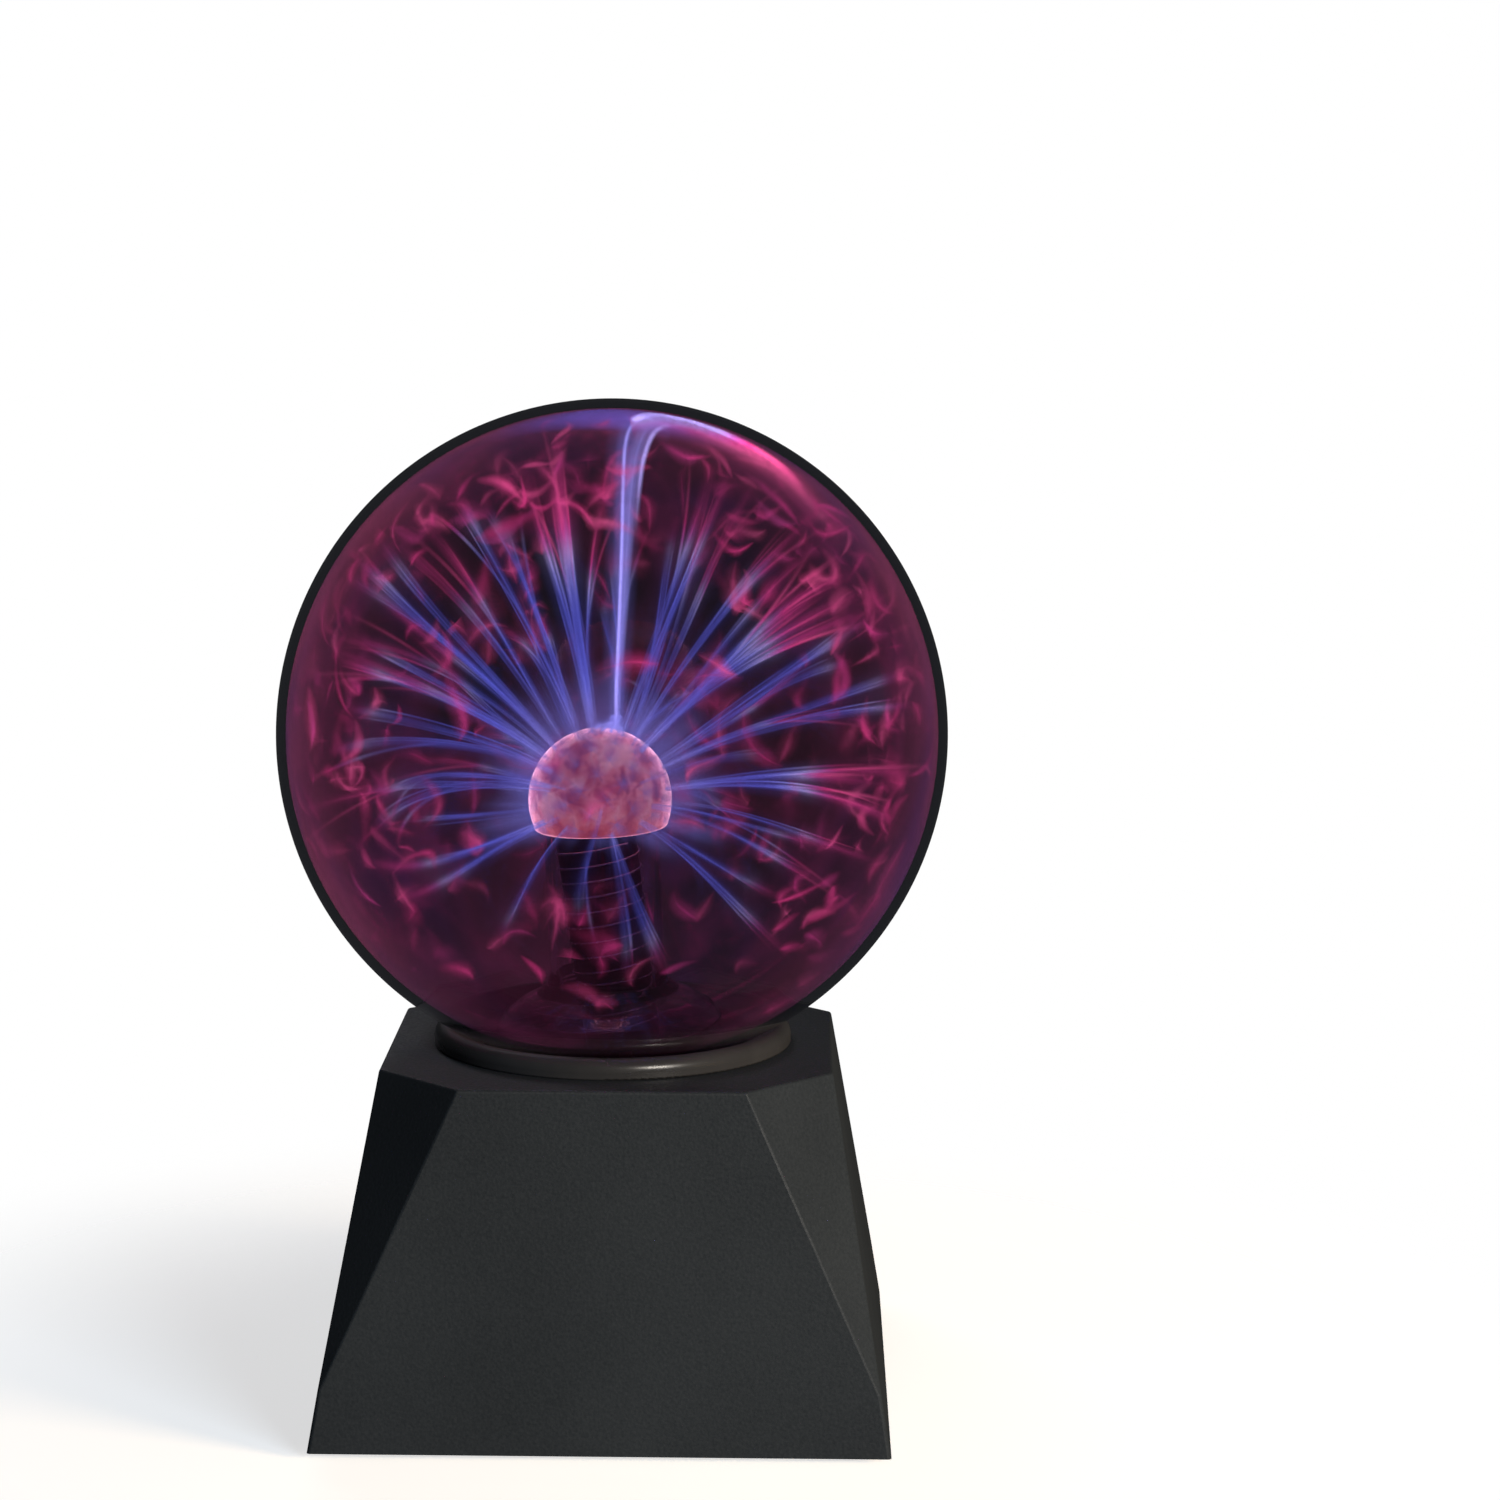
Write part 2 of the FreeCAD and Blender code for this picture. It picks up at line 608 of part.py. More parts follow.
adds, takes = [plate], []
for i, (sx, sy) in enumerate(((1, 1), (1, -1), (-1, 1), (-1, -1))):
    x, y = "%d*post_x" % sx, "%d*post_y" % sy
    adds.append(cyl("cup_%d" % i, x, y, "cover_z", "5.2", "cup_top - cover_z"))
    takes.append(cyl("cup_head_%d" % i, x, y, "cover_z - 1", "3.3", "4.0"))
    takes.append(cyl("cup_hole_%d" % i, x, y, "cover_z - 1", "1.7", "8"))
for i, (sx, y) in enumerate(((1, "stand_front"), (-1, "stand_front"), (1, "stand_back"), (-1, "stand_back"))):
    x = "%d*stand_x" % sx
    adds.append(cyl("stand_%d" % i, x, y, "cover_z + 1", "3.2", "board_z - cover_z - 1"))
    takes.append(cyl("stand_pilot_%d" % i, x, y, "board_z - 7", "1.25", "8"))
node("bottom_cover", cut("bottom_cover", fuse("cover_whole", *adds), *takes))

items = []
for i, (sx, sy) in enumerate(((1, 1), (1, -1), (-1, 1), (-1, -1))):
    items.append(screw("cover_screw_%d" % i, "%d*post_x" % sx, "%d*post_y" % sy, "cover_z + 3.0",
                       "2.8", "2.0", "1.48", "13"))
node("cover_screws", group("cover_screws", *items))

items = []
for i, (sx, sy) in enumerate(((1, 1), (1, -1), (-1, 1), (-1, -1))):
    foot = revolve("foot_%d" % i, [("0", "0"), ("foot_radius - 0.7", "0", 0.7), ("foot_radius", "0.7"),
                                   ("foot_radius", "cover_z"), ("0", "cover_z")])
    at(foot, "%d*foot_x" % sx, "%d*foot_y" % sy)
    items.append(foot)
node("rubber_feet", group("rubber_feet", *items))

# ---------------------------------------------------------------- driver board
board = pad("board_plate", "XY_Plane", rect("-board_half_x", "board_front", "board_half_x", "board_back"),
            "board_thick", offset="board_z")
takes = []
for i, (sx, y) in enumerate(((1, "stand_front"), (-1, "stand_front"), (1, "stand_back"), (-1, "stand_back"))):
    takes.append(cyl("board_hole_%d" % i, "%d*stand_x" % sx, y, "board_z - 1", "1.6", "4"))
node("driver_board", cut("driver_board", board, *takes))
BT = "board_z + board_thick"
items = []
for i, (sx, y) in enumerate(((1, "stand_front"), (-1, "stand_front"), (1, "stand_back"), (-1, "stand_back"))):
    items.append(screw("board_screw_%d" % i, "%d*stand_x" % sx, y, BT, "2.6", "1.8", "1.23", "6.5", -1))
node("board_screws", group("board_screws", *items))

# flyback transformer: ferrite frame, bobbin, high-voltage coil and primary
CX, CY = "-10", "-14"
frame_box = box("core_frame", CX, CY, BT + " + 0.8", "42", "9", "36")
window = box("core_window", CX, CY, BT + " + 9.8", "24", "12", "18")
node("flyback_core", cut("flyback_core", frame_box, window))
bob_base = box("bobbin_base", CX, CY, BT, "44", "24", "0.8")
bob_tube = cyl("bobbin_tube", CX + " - 16.5", CY, BT + " + 10.0", "8.2", "17.6")
bob_lo = cyl("bobbin_low", CX + " - 16.5", CY, BT + " + 10.0", "15.6", "1.0")
bob_hi = cyl("bobbin_high", CX + " - 16.5", CY, BT + " + 26.6", "15.6", "1.0")
bob_bore = box("bobbin_bore", CX + " - 16.5", CY, BT + " + 9.0", "9.2", "9.2", "20")
bob_leg_a = box("bobbin_leg_a", CX + " - 16.5", CY + " + 9.0", BT + " + 0.5", "8", "1.6", "9.8")
bob_leg_b = box("bobbin_leg_b", CX + " - 16.5", CY + " - 9.0", BT + " + 0.5", "8", "1.6", "9.8")
node("coil_bobbin", cut("coil_bobbin", fuse("bobbin_solid", bob_base, bob_tube, bob_lo, bob_hi, bob_leg_a, bob_leg_b), bob_bore))
coil_out = cyl("coil_out", CX + " - 16.5", CY, BT + " + 11.0", "14.8", "15.6")
coil_in = cyl("coil_in", CX + " - 16.5", CY, BT + " + 10.0", "8.2", "18")
node("flyback_coil", cut("flyback_coil", coil_out, coil_in))
pri_out = cyl("primary_out", CX + " + 16.5", CY, BT + " + 12.8", "9.6", "12")
pri_in = box("primary_in", CX + " + 16.5", CY, BT + " + 12.0", "9", "9", "14")
node("primary_winding", cut("primary_winding", pri_out, pri_in))

# heat sink with the power transistor on its inner face
sink = pad("sink_plate", "XY_Plane", [
    ("22", "-35"), ("36", "-35"), ("36", "-33"), ("24.5", "-33"), ("24.5", "-29.5"), ("36", "-29.5"), ("36", "-27.5"),
    ("24.5", "-27.5"), ("24.5", "-24"), ("36", "-24"), ("36", "-22"), ("24.5", "-22"), ("24.5", "-18.5"), ("36", "-18.5"),
    ("36", "-16.5"), ("24.5", "-16.5"), ("24.5", "-13"), ("36", "-13"), ("36", "-11"), ("22", "-11")],
    "22", offset=BT + " + 0.0")
notch = cyl("sink_notch", "stand_x", "stand_front", BT, "3.4", "4")
node("heat_sink", cut("heat_sink", sink, notch))
tr_body = box("transistor_body", "19.65", "-23", BT + " + 6", "4.7", "10", "9")
tr_tab = box("transistor_tab", "21.35", "-23", BT + " + 15", "1.3", "10", "6.5")
legs = [box("transistor_leg_%d" % i, "19.2", "-23 + %g" % d, BT, "0.6", "0.9", "6") for i, d in enumerate((-2.54, 0, 2.54))]
node("power_transistor", fuse("power_transistor", tr_body, tr_tab, *legs))

cap = revolve("filter_capacitor", [("0", BT), ("7.4", BT, 0.6), ("8", BT + " + 0.6"), ("8", BT + " + 2"), ("7.6", BT + " + 2.6"),
                                   ("8", BT + " + 3.2"), ("8", BT + " + 24.2", 0.8), ("7.2", BT + " + 25"), ("0", BT + " + 25")])
at(cap, "28", "6")
node("filter_capacitor", cap)
items = []
for i, (x, y) in enumerate((("8", "8"), ("8", "20"))):
    c = revolve("small_can_%d" % i, [("0", BT), ("4", BT), ("4", BT + " + 10.4", 0.6), ("3.4", BT + " + 11"), ("0", BT + " + 11")])
    at(c, x, y)
    items.append(c)
node("small_capacitors", group("small_capacitors", *items))
node("film_capacitor", box("film_capacitor", "-24", "12", BT, "18", "8", "14"))
chip = box("chip_body", "-5", "28", BT + " + 0.6", "10", "6.4", "3.4")
pins = []
for i in range(4):
    for j, sy in enumerate((-1, 1)):
        pins.append(box("chip_pin_%d%d" % (i, j), "-5 + %g" % (-3.81 + 2.54 * i), "28 + %g" % (sy * 3.6), BT, "0.6", "0.8", "2.4"))
node("control_chip", fuse("control_chip", chip, *pins))
items = []
for i in range(4):
    y = "22 + %d*4" % i
    bodyc = cyl("resistor_body_%d" % i, "-34", y, BT + " + 1.3", "1.2", "7", "x")
    lead = cyl("resistor_lead_%d" % i, "-36.5", y, BT + " + 1.3", "0.35", "12", "x")
    p0 = cyl("resistor_pin_%d" % i, "-36.5", y, BT, "0.35", "1.3")
    p1 = cyl("resistor_end_%d" % i, "-24.5", y, BT, "0.35", "1.3")
    items.append(fuse("resistor_%d" % i, bodyc, lead, p0, p1))
node("resistors", group("resistors", *items))
mic = revolve("microphone_capsule", [("0", BT), ("4.8", BT), ("4.8", BT + " + 6.1", 0.4), ("4.4", BT + " + 6.5"),
                                     ("1.2", BT + " + 6.5"), ("1.2", BT + " + 5.9"), ("0", BT + " + 5.9")])
at(mic, "31", "28")
node("microphone_capsule", mic)

# ---------------------------------------------------------------- power inlet
jack_block = box("jack_block", "jack_x", "(panel_y - wall - 0.2 + 41)/2", BT, "11", "panel_y - wall - 0.2 - 41", "12")
jack_nose = cyl("jack_nose_barrel", "jack_x", "48", "axis_z", "jack_nose", "jack_front - 48", "y")
jack_bore = cyl("jack_bore_hole", "jack_x", "jack_front - 10", "axis_z", "jack_bore", "12", "y")
jack_seat = cyl("jack_pin_seat", "jack_x", "jack_front - 13", "axis_z", "jack_pin + 0.75", "4", "y")
node("dc_jack", cut("dc_jack", fuse("jack_solid", jack_block, jack_nose), jack_bore, jack_seat))
pin_foot = cyl("jack_pin_foot", "jack_x", "jack_front - 13", "axis_z", "jack_pin + 0.75", "3", "y")
pin_rod = cyl("jack_pin_rod", "jack_x", "jack_front - 10", "axis_z", "jack_pin", "9", "y")
pin_tip = ball("jack_pin_tip", "jack_x", "jack_front - 1.2", "axis_z", "jack_pin*0.98")
node("dc_jack_pin", fuse("dc_jack_pin", pin_foot, pin_rod, pin_tip))

# ---------------------------------------------------------------- slide switch
PLATE_Y = "panel_y - wall - 0.8"
frame_plate = box("frame_plate", "switch_x", PLATE_Y + " + 0.4", "axis_z - 6", "34", "0.8", "12")
frame_slot = box("frame_slot", "switch_x", PLATE_Y + " + 0.4", "axis_z - knob_half_z - 0.5",
                 "2*(knob_half_x + switch_travel + 0.5)", "4", "2*knob_half_z + 1")
frame_holes = [cyl("frame_hole_%d" % (sx + 1), "switch_x + %d*14" % sx, "panel_y - 8", "axis_z", "1.05", "12", "y") for sx in (-1, 1)]
node("switch_frame", cut("switch_frame", frame_plate, frame_slot, *frame_holes))
sw_block = box("switch_block", "switch_x", PLATE_Y + " - 4.5", "axis_z - 5.5", "22", "9", "11")
sw_cavity = box("switch_cavity", "switch_x", PLATE_Y + " - 2.9", "axis_z - 4.4", "17.6", "6", "8.8")
node("switch_body", cut("switch_body", sw_block, sw_cavity))
flange = box("slider_flange", "switch_x", PLATE_Y + " - 1.4", "axis_z - 3.9", "11", "2.2", "7.8")
knob = box("slider_knob", "switch_x", "(knob_y + (%s) - 1.4)/2" % PLATE_Y, "axis_z - knob_half_z", "2*knob_half_x",
           "knob_y - (%s) + 1.4" % PLATE_Y, "2*knob_half_z")
grooves = [box("slider_groove_%d" % i, "switch_x + %g" % d, "knob_y", "axis_z - knob_half_z - 1", "0.5", "0.7", "2*knob_half_z + 2")
           for i, d in enumerate((-1.8, -0.6, 0.6, 1.8))]
node("switch_slider", cut("switch_slider", fuse("slider_solid", flange, knob), *grooves))
node("switch_contact", box("switch_contact", "switch_x", PLATE_Y + " - 3.6", "axis_z - 2.6", "7", "2.2", "5.2"))
terms = [box("terminal_%d" % i, "switch_x + %g" % d, PLATE_Y + " - 10.7", "axis_z - 0.9", "0.6", "3.4", "1.8")
         for i, d in enumerate((-5.0, 0.0, 5.0))]
node("switch_terminals", group("switch_terminals", *terms))
items = []
for sx in (-1, 1):
    shank = cyl("switch_screw_shank_%d" % (sx + 1), "switch_x + %d*14" % sx, "panel_y - 4.5", "axis_z", "1.0", "4.5", "y")
    head = cyl("switch_screw_head_%d" % (sx + 1), "switch_x + %d*14" % sx, "panel_y", "axis_z", "1.9", "1.2", "y")
    sa = box("switch_screw_a_%d" % (sx + 1), "switch_x + %d*14" % sx, "panel_y + 1.2", "axis_z - 0.25", "2.2", "1.2", "0.5")
    sb = box("switch_screw_b_%d" % (sx + 1), "switch_x + %d*14" % sx, "panel_y + 1.2", "axis_z - 1.1", "0.5", "1.2", "2.2")
    items.append(cut("switch_screw_%d" % (sx + 1), fuse("switch_screw_solid_%d" % (sx + 1), shank, head), sa, sb))
node("switch_screws", group("switch_screws", *items))

doc.recompute()
SY = val(PLATE_Y + " - 12.4")
BZ = val(BT)
AZ = val("axis_z")
wires = []
for i, d in enumerate((-5.0, 0.0, 5.0)):
    x = val("switch_x") + d
    wires.append(tube([(x, SY, AZ), (x, SY - 5, AZ), (x, SY - 5, BZ)], [2.0], 0.7))
w = doc.addObject("Part::Feature", "switch_wires")
w.Shape = Part.makeCompound(wires)
node("switch_wires", w)

# high-voltage lead: out of the coil's top, round below the neck, up into the sleeve
lx, ly = val(CX) - 16.5, val(CY) + 12
z_coil = val(BT + " + 27.6")
along = SLEEVE_PLACE.Rotation.multVec(Vector(0, 0, 1))
foot_of_sleeve = SLEEVE_PLACE.Base
low_turn, lead_end = foot_of_sleeve - along * 23.5, foot_of_sleeve + along * 4
lead_pts = [(lx, ly, z_coil), (lx, ly, 55.5), tuple(low_turn), tuple(lead_end)]
lead = doc.addObject("Part::Feature", "hv_lead")
lead.Shape = tube(lead_pts, [5.0, 9.0], 1.6)
node("hv_lead", lead)

doc.recompute()

# ---------------------------------------------------------------- check and write
bad = []
for o in doc.Objects:
    if "Invalid" in o.State or "Error" in o.State:
        bad.append((o.Name, o.State))
for name, o in nodes.items():
    s = o.Shape
    if s.isNull() or not s.isValid():
        bad.append((name, "shape"))
if bad:
    raise RuntimeError("failed objects: %s" % bad)
os.makedirs("parts", exist_ok=True)
for name, o in nodes.items():
    o.Shape.exportStep("parts/%s.step" % name)
    b = o.Shape.BoundBox
    print("%-20s solids %d vol %9.1f  x %.1f..%.1f y %.1f..%.1f z %.1f..%.1f" % (
        name, len(o.Shape.Solids), o.Shape.Volume, b.XMin, b.XMax, b.YMin, b.YMax, b.ZMin, b.ZMax))
print(len(nodes), "nodes")
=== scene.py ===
"""Looks of the plasma ball: glass globe with its discharge, glowing electrode, faceted dark base."""

import math

import bmesh
import bpy
import numpy as np
from mathutils import Matrix, Vector


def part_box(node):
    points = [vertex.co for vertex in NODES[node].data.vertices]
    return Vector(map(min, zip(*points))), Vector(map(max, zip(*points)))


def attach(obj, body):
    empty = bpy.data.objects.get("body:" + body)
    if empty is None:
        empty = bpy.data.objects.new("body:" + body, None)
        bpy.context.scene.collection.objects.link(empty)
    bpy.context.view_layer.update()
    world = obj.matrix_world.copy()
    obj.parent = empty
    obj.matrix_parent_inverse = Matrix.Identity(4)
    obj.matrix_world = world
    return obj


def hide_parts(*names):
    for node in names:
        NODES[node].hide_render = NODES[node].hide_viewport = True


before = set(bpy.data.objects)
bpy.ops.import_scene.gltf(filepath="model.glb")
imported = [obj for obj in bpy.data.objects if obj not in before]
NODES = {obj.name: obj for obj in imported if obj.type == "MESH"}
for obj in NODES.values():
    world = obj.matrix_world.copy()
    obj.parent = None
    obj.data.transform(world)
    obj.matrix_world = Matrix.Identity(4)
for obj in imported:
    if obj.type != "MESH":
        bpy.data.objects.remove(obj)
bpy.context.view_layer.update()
RNG = np.random.default_rng(20417)

# ------------------------------------------------------------------ places, from the CAD nodes
lo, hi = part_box("glass_globe")
GLOBE_R = (hi.x - lo.x) / 2
G = np.array([0.0, 0.0, hi.z - GLOBE_R])
WALL = 0.0020
INNER_R = GLOBE_R - WALL
LIMIT_R = INNER_R - 0.0005
lo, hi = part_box("electrode_dome")
LEAN = math.radians(2.4)
AXIS = np.array([-math.sin(LEAN), 0.0, math.cos(LEAN)])
DOME_R = hi.y
D = np.array([hi.x * 0 + (-0.00292), 0.0, hi.z - DOME_R])
DOME_DROP = 0.0066


def unit(v):
    v = np.asarray(v, float)
    return v / np.linalg.norm(v)


def heading(az, el):
    a, e = math.radians(az), math.radians(el)
    return np.array([math.cos(a) * math.cos(e), math.sin(a) * math.cos(e), math.sin(e)])


# ------------------------------------------------------------------ shader helpers
class Mat:
    def __init__(self, name):
        self.m = bpy.data.materials.new(name)
        self.m.use_nodes = True
        self.t = self.m.node_tree
        self.t.nodes.clear()
        self.out = self.t.nodes.new("ShaderNodeOutputMaterial")

    def node(self, kind, props=None, **inputs):
        n = self.t.nodes.new("ShaderNode" + kind)
        for k, v in (props or {}).items():
            setattr(n, k, v)
        for k, v in inputs.items():
            s = n.inputs[int(k[1:])] if k[0] == "i" and k[1:].isdigit() else n.inputs[k.replace("_", " ")]
            if isinstance(v, bpy.types.NodeSocket):
                self.t.links.new(v, s)
            else:
                s.default_value = v
        return n

    def math(self, op, a, b=0.0, c=None, clamp=False):
        n = self.t.nodes.new("ShaderNodeMath")
        n.operation = op
        n.use_clamp = clamp
        for i, v in enumerate((a, b) if c is None else (a, b, c)):
            if isinstance(v, bpy.types.NodeSocket):
                self.t.links.new(v, n.inputs[i])
            else:
                n.inputs[i].default_value = v
        return n.outputs[0]

    def ramp(self, fac, stops, interpolation="LINEAR"):
        n = self.t.nodes.new("ShaderNodeValToRGB")
        n.color_ramp.interpolation = interpolation
        e = n.color_ramp.elements
        while len(e) < len(stops):
            e.new(0.5)
        for i, (p, c) in enumerate(stops):
            e[i].position = p
            e[i].color = c if len(c) == 4 else (*c, 1)
        self.t.links.new(fac, n.inputs[0])
        return n.outputs[0]

    def range(self, v, a, b, c=0.0, d=1.0, smooth=False):
        n = self.t.nodes.new("ShaderNodeMapRange")
        n.clamp = True
        n.interpolation_type = "SMOOTHSTEP" if smooth else "LINEAR"
        self.t.links.new(v, n.inputs[0])
        for i, x in enumerate((a, b, c, d)):
            n.inputs[1 + i].default_value = x
        return n.outputs[0]

    def noise(self, vec, scale, detail=3.0, rough=0.5, distortion=0.0):
        n = self.node("TexNoise", {"noise_dimensions": "3D"}, Vector=vec, Scale=scale, Detail=detail,
                      Roughness=rough, Distortion=distortion)
        return n.outputs[0]

    def shift(self, vec, move=(0, 0, 0), scale=(1, 1, 1)):
        n = self.node("Mapping", Vector=vec, Location=move, Scale=scale)
        return n.outputs[0]

    def place(self):
        return self.node("TexCoord").outputs["Object"]

    def attr(self, name):
        return self.node("Attribute", {"attribute_name": name}).outputs["Fac"]

    def finish(self, shader):
        self.t.links.new(shader, self.out.inputs[0])
        return self.m


def solid(name, dark, light, scale, rough=(0.4, 0.5), metallic=0.0, bump=0.0, bump_scale=None, coat=0.0,
          stretch=(1, 1, 1), spec=0.5, detail=4.0):
    """An opaque finish: two shades mixed by noise, roughness that varies, a fine relief."""
    m = Mat(name)
    p = m.shift(m.place(), scale=stretch)
    n = m.noise(p, scale, detail, 0.6)
    col = m.ramp(n, [(0.3, dark), (0.7, light)])
    r = m.range(m.noise(p, scale * 2.3, 2.0), 0.3, 0.7, rough[0], rough[1])
    b = m.node("BsdfPrincipled", Base_Color=col, Roughness=r, Metallic=metallic)
    b.inputs["Specular IOR Level"].default_value = spec
    if coat:
        b.inputs["Coat Weight"].default_value = coat
        b.inputs["Coat Roughness"].default_value = 0.08
    if bump:
        h = m.noise(p, bump_scale or scale * 4, 3.0, 0.65)
        bn = m.node("Bump", Strength=bump, Distance=0.0002, Height=h)
        m.t.links.new(bn.outputs[0], b.inputs["Normal"])
    return m.finish(b.outputs[0])


def housing_material():
    """Dark moulded plastic with a fine spark-eroded grain."""
    m = Mat("moulded_housing")
    p = m.place()
    broad = m.noise(p, 14.0, 3.0, 0.55)
    fine = m.noise(p, 1500.0, 3.0, 0.6)
    pits = m.node("TexVoronoi", {"feature": "F1"}, Vector=p, Scale=1150.0, Randomness=1.0).outputs[0]
    col = m.ramp(m.math("ADD", m.math("MULTIPLY", broad, 0.6), m.math("MULTIPLY", fine, 0.4)),
                 [(0.32, (0.0098, 0.0121, 0.0150)), (0.5, (0.0134, 0.0164, 0.0200)), (0.7, (0.0176, 0.0212, 0.0256))])
    r = m.range(fine, 0.3, 0.7, 0.40, 0.56)
    h = m.math("ADD", m.math("MULTIPLY", fine, 0.65), m.math("MULTIPLY", pits, 0.55))
    bn = m.node("Bump", Strength=0.30, Distance=0.00016, Height=h)
    b = m.node("BsdfPrincipled", Base_Color=col, Roughness=r, Normal=bn.outputs[0])
    b.inputs["Specular IOR Level"].default_value = 0.32
    return m.finish(b.outputs[0])


def collar_material():
    """Smoother, darker plastic of the ring that the globe stands in."""
    m = Mat("collar_satin")
    p = m.place()
    n = m.noise(p, 60.0, 3.0, 0.5)
    col = m.ramp(n, [(0.3, (0.014, 0.0142, 0.0155)), (0.7, (0.021, 0.0212, 0.023))])
    fine = m.noise(p, 900.0, 2.0, 0.5)
    bn = m.node("Bump", Strength=0.10, Distance=0.0001, Height=fine)
    b = m.node("BsdfPrincipled", Base_Color=col, Roughness=m.range(n, 0.3, 0.7, 0.26, 0.34), Normal=bn.outputs[0])
    b.inputs["Specular IOR Level"].default_value = 0.55
    return m.finish(b.outputs[0])


def glass_material(name, tint, wave=0.03, scale=18.0, roughness=0.0, ior=1.46):
    """Blown glass: clear with a smoky tint, its surface a little wavy."""
    m = Mat(name)
    p = m.shift(m.place(), scale=(1, 1, 0.45))
    n = m.noise(p, scale, 1.5, 0.4)
    bn = m.node("Bump", Strength=wave, Distance=0.002, Height=n)
    col = m.ramp(m.noise(p, scale * 0.6, 1.0), [(0.3, tuple(c * 0.97 for c in tint)), (0.7, tint)])
    b = m.node("BsdfPrincipled", Base_Color=col, Normal=bn.outputs[0])
    b.inputs["Roughness"].default_value = roughness
    b.inputs["IOR"].default_value = ior
    b.inputs["Transmission Weight"].default_value = 1.0
    return m.finish(b.outputs[0])


BLUE_TO_PINK = [
    (0.00, (0.050, 0.070, 0.50)),
    (0.22, (0.110, 0.120, 0.62)),
    (0.42, (0.26, 0.25, 0.74)),
    (0.56, (0.50, 0.40, 0.86)),
    (0.70, (0.60, 0.12, 0.50)),
    (0.84, (0.86, 0.045, 0.24)),
    (1.00, (1.00, 0.16, 0.36)),
]


def glow_material(name, strength, grain=0.0, grain_scale=70.0, soft=2.0):
    """Glowing gas: adds its own light, fades out across and along each streamer."""
    m = Mat(name)
    u = m.attr("across")
    edge = m.math("SUBTRACT", 1.0, m.math("MULTIPLY", u, u), clamp=True)
    body = m.math("POWER", edge, soft)
    a = m.math("MULTIPLY", body, m.attr("power"))
    if grain:
        n = m.noise(m.place(), grain_scale, 3.0, 0.6, 0.6)
        a = m.math("MULTIPLY", a, m.range(n, 0.36, 0.62, 1.0 - grain, 1.0 + grain * 0.35))
    a = m.math("MINIMUM", a, 1.0, clamp=True)
    col = m.ramp(m.attr("tint"), BLUE_TO_PINK)
    white = m.math("MULTIPLY", m.attr("heat"), body, clamp=True)
    mix = m.node("Mix", {"data_type": "RGBA"})
    m.t.links.new(white, mix.inputs[0])
    m.t.links.new(col, mix.inputs[6])
    mix.inputs[7].default_value = (0.80, 0.86, 1.0, 1)
    e = m.node("Emission", Color=mix.outputs[2], Strength=strength)
    t = m.node("BsdfTransparent")
    s = m.node("MixShader", i0=a)
    m.t.links.new(t.outputs[0], s.inputs[1])
    m.t.links.new(e.outputs[0], s.inputs[2])
    m.m.cycles.emission_sampling = "NONE"
    return m.finish(s.outputs[0])


# ------------------------------------------------------------------ mesh helpers
def new_object(name, verts, faces, smooth=True, attrs=None):
    me = bpy.data.meshes.new(name)
    me.from_pydata([tuple(v) for v in verts], [], [tuple(int(i) for i in f) for f in faces])
    me.update()
    if smooth:
        me.polygons.foreach_set("use_smooth", [True] * len(me.polygons))
    for key, values in (attrs or {}).items():
        a = me.attributes.new(key, "FLOAT", "POINT")
        a.data.foreach_set("value", np.asarray(values, np.float32))
    o = bpy.data.objects.new(name, me)
    bpy.context.scene.collection.objects.link(o)
    return o


def lathe(name, profile, seg, origin, axis, closed=True):
    """Turn (radius, height) points round an axis. A radius of 0 makes a pole."""
    z = unit(axis)
    x = unit(np.cross([0, 1, 0], z))
    y = np.cross(z, x)
    rings, verts, faces = [], [], []
    for r, h in profile:
        if r < 1e-9:
            rings.append([len(verts)] * seg)
            verts.append(origin + z * h)
        else:
            rings.append(list(range(len(verts), len(verts) + seg)))
            for k in range(seg):
                a = 2 * math.pi * k / seg
                verts.append(origin + r * (math.cos(a) * x + math.sin(a) * y) + z * h)
    pairs = list(zip(rings, rings[1:]))
    if closed:
        pairs.append((rings[-1], rings[0]))
    for a, b in pairs:
        if a == b:
            continue
        for k in range(seg):
            q = (k + 1) % seg
            f = [a[k], a[q], b[q], b[k]]
            f = [v for i, v in enumerate(f) if v not in f[:i]]
            if len(f) > 2:
                faces.append(f)
    o = new_object(name, verts, faces)
    bm = bmesh.new()
    bm.from_mesh(o.data)
    bmesh.ops.recalc_face_normals(bm, faces=bm.faces)
    bm.to_mesh(o.data)
    bm.free()
    return o


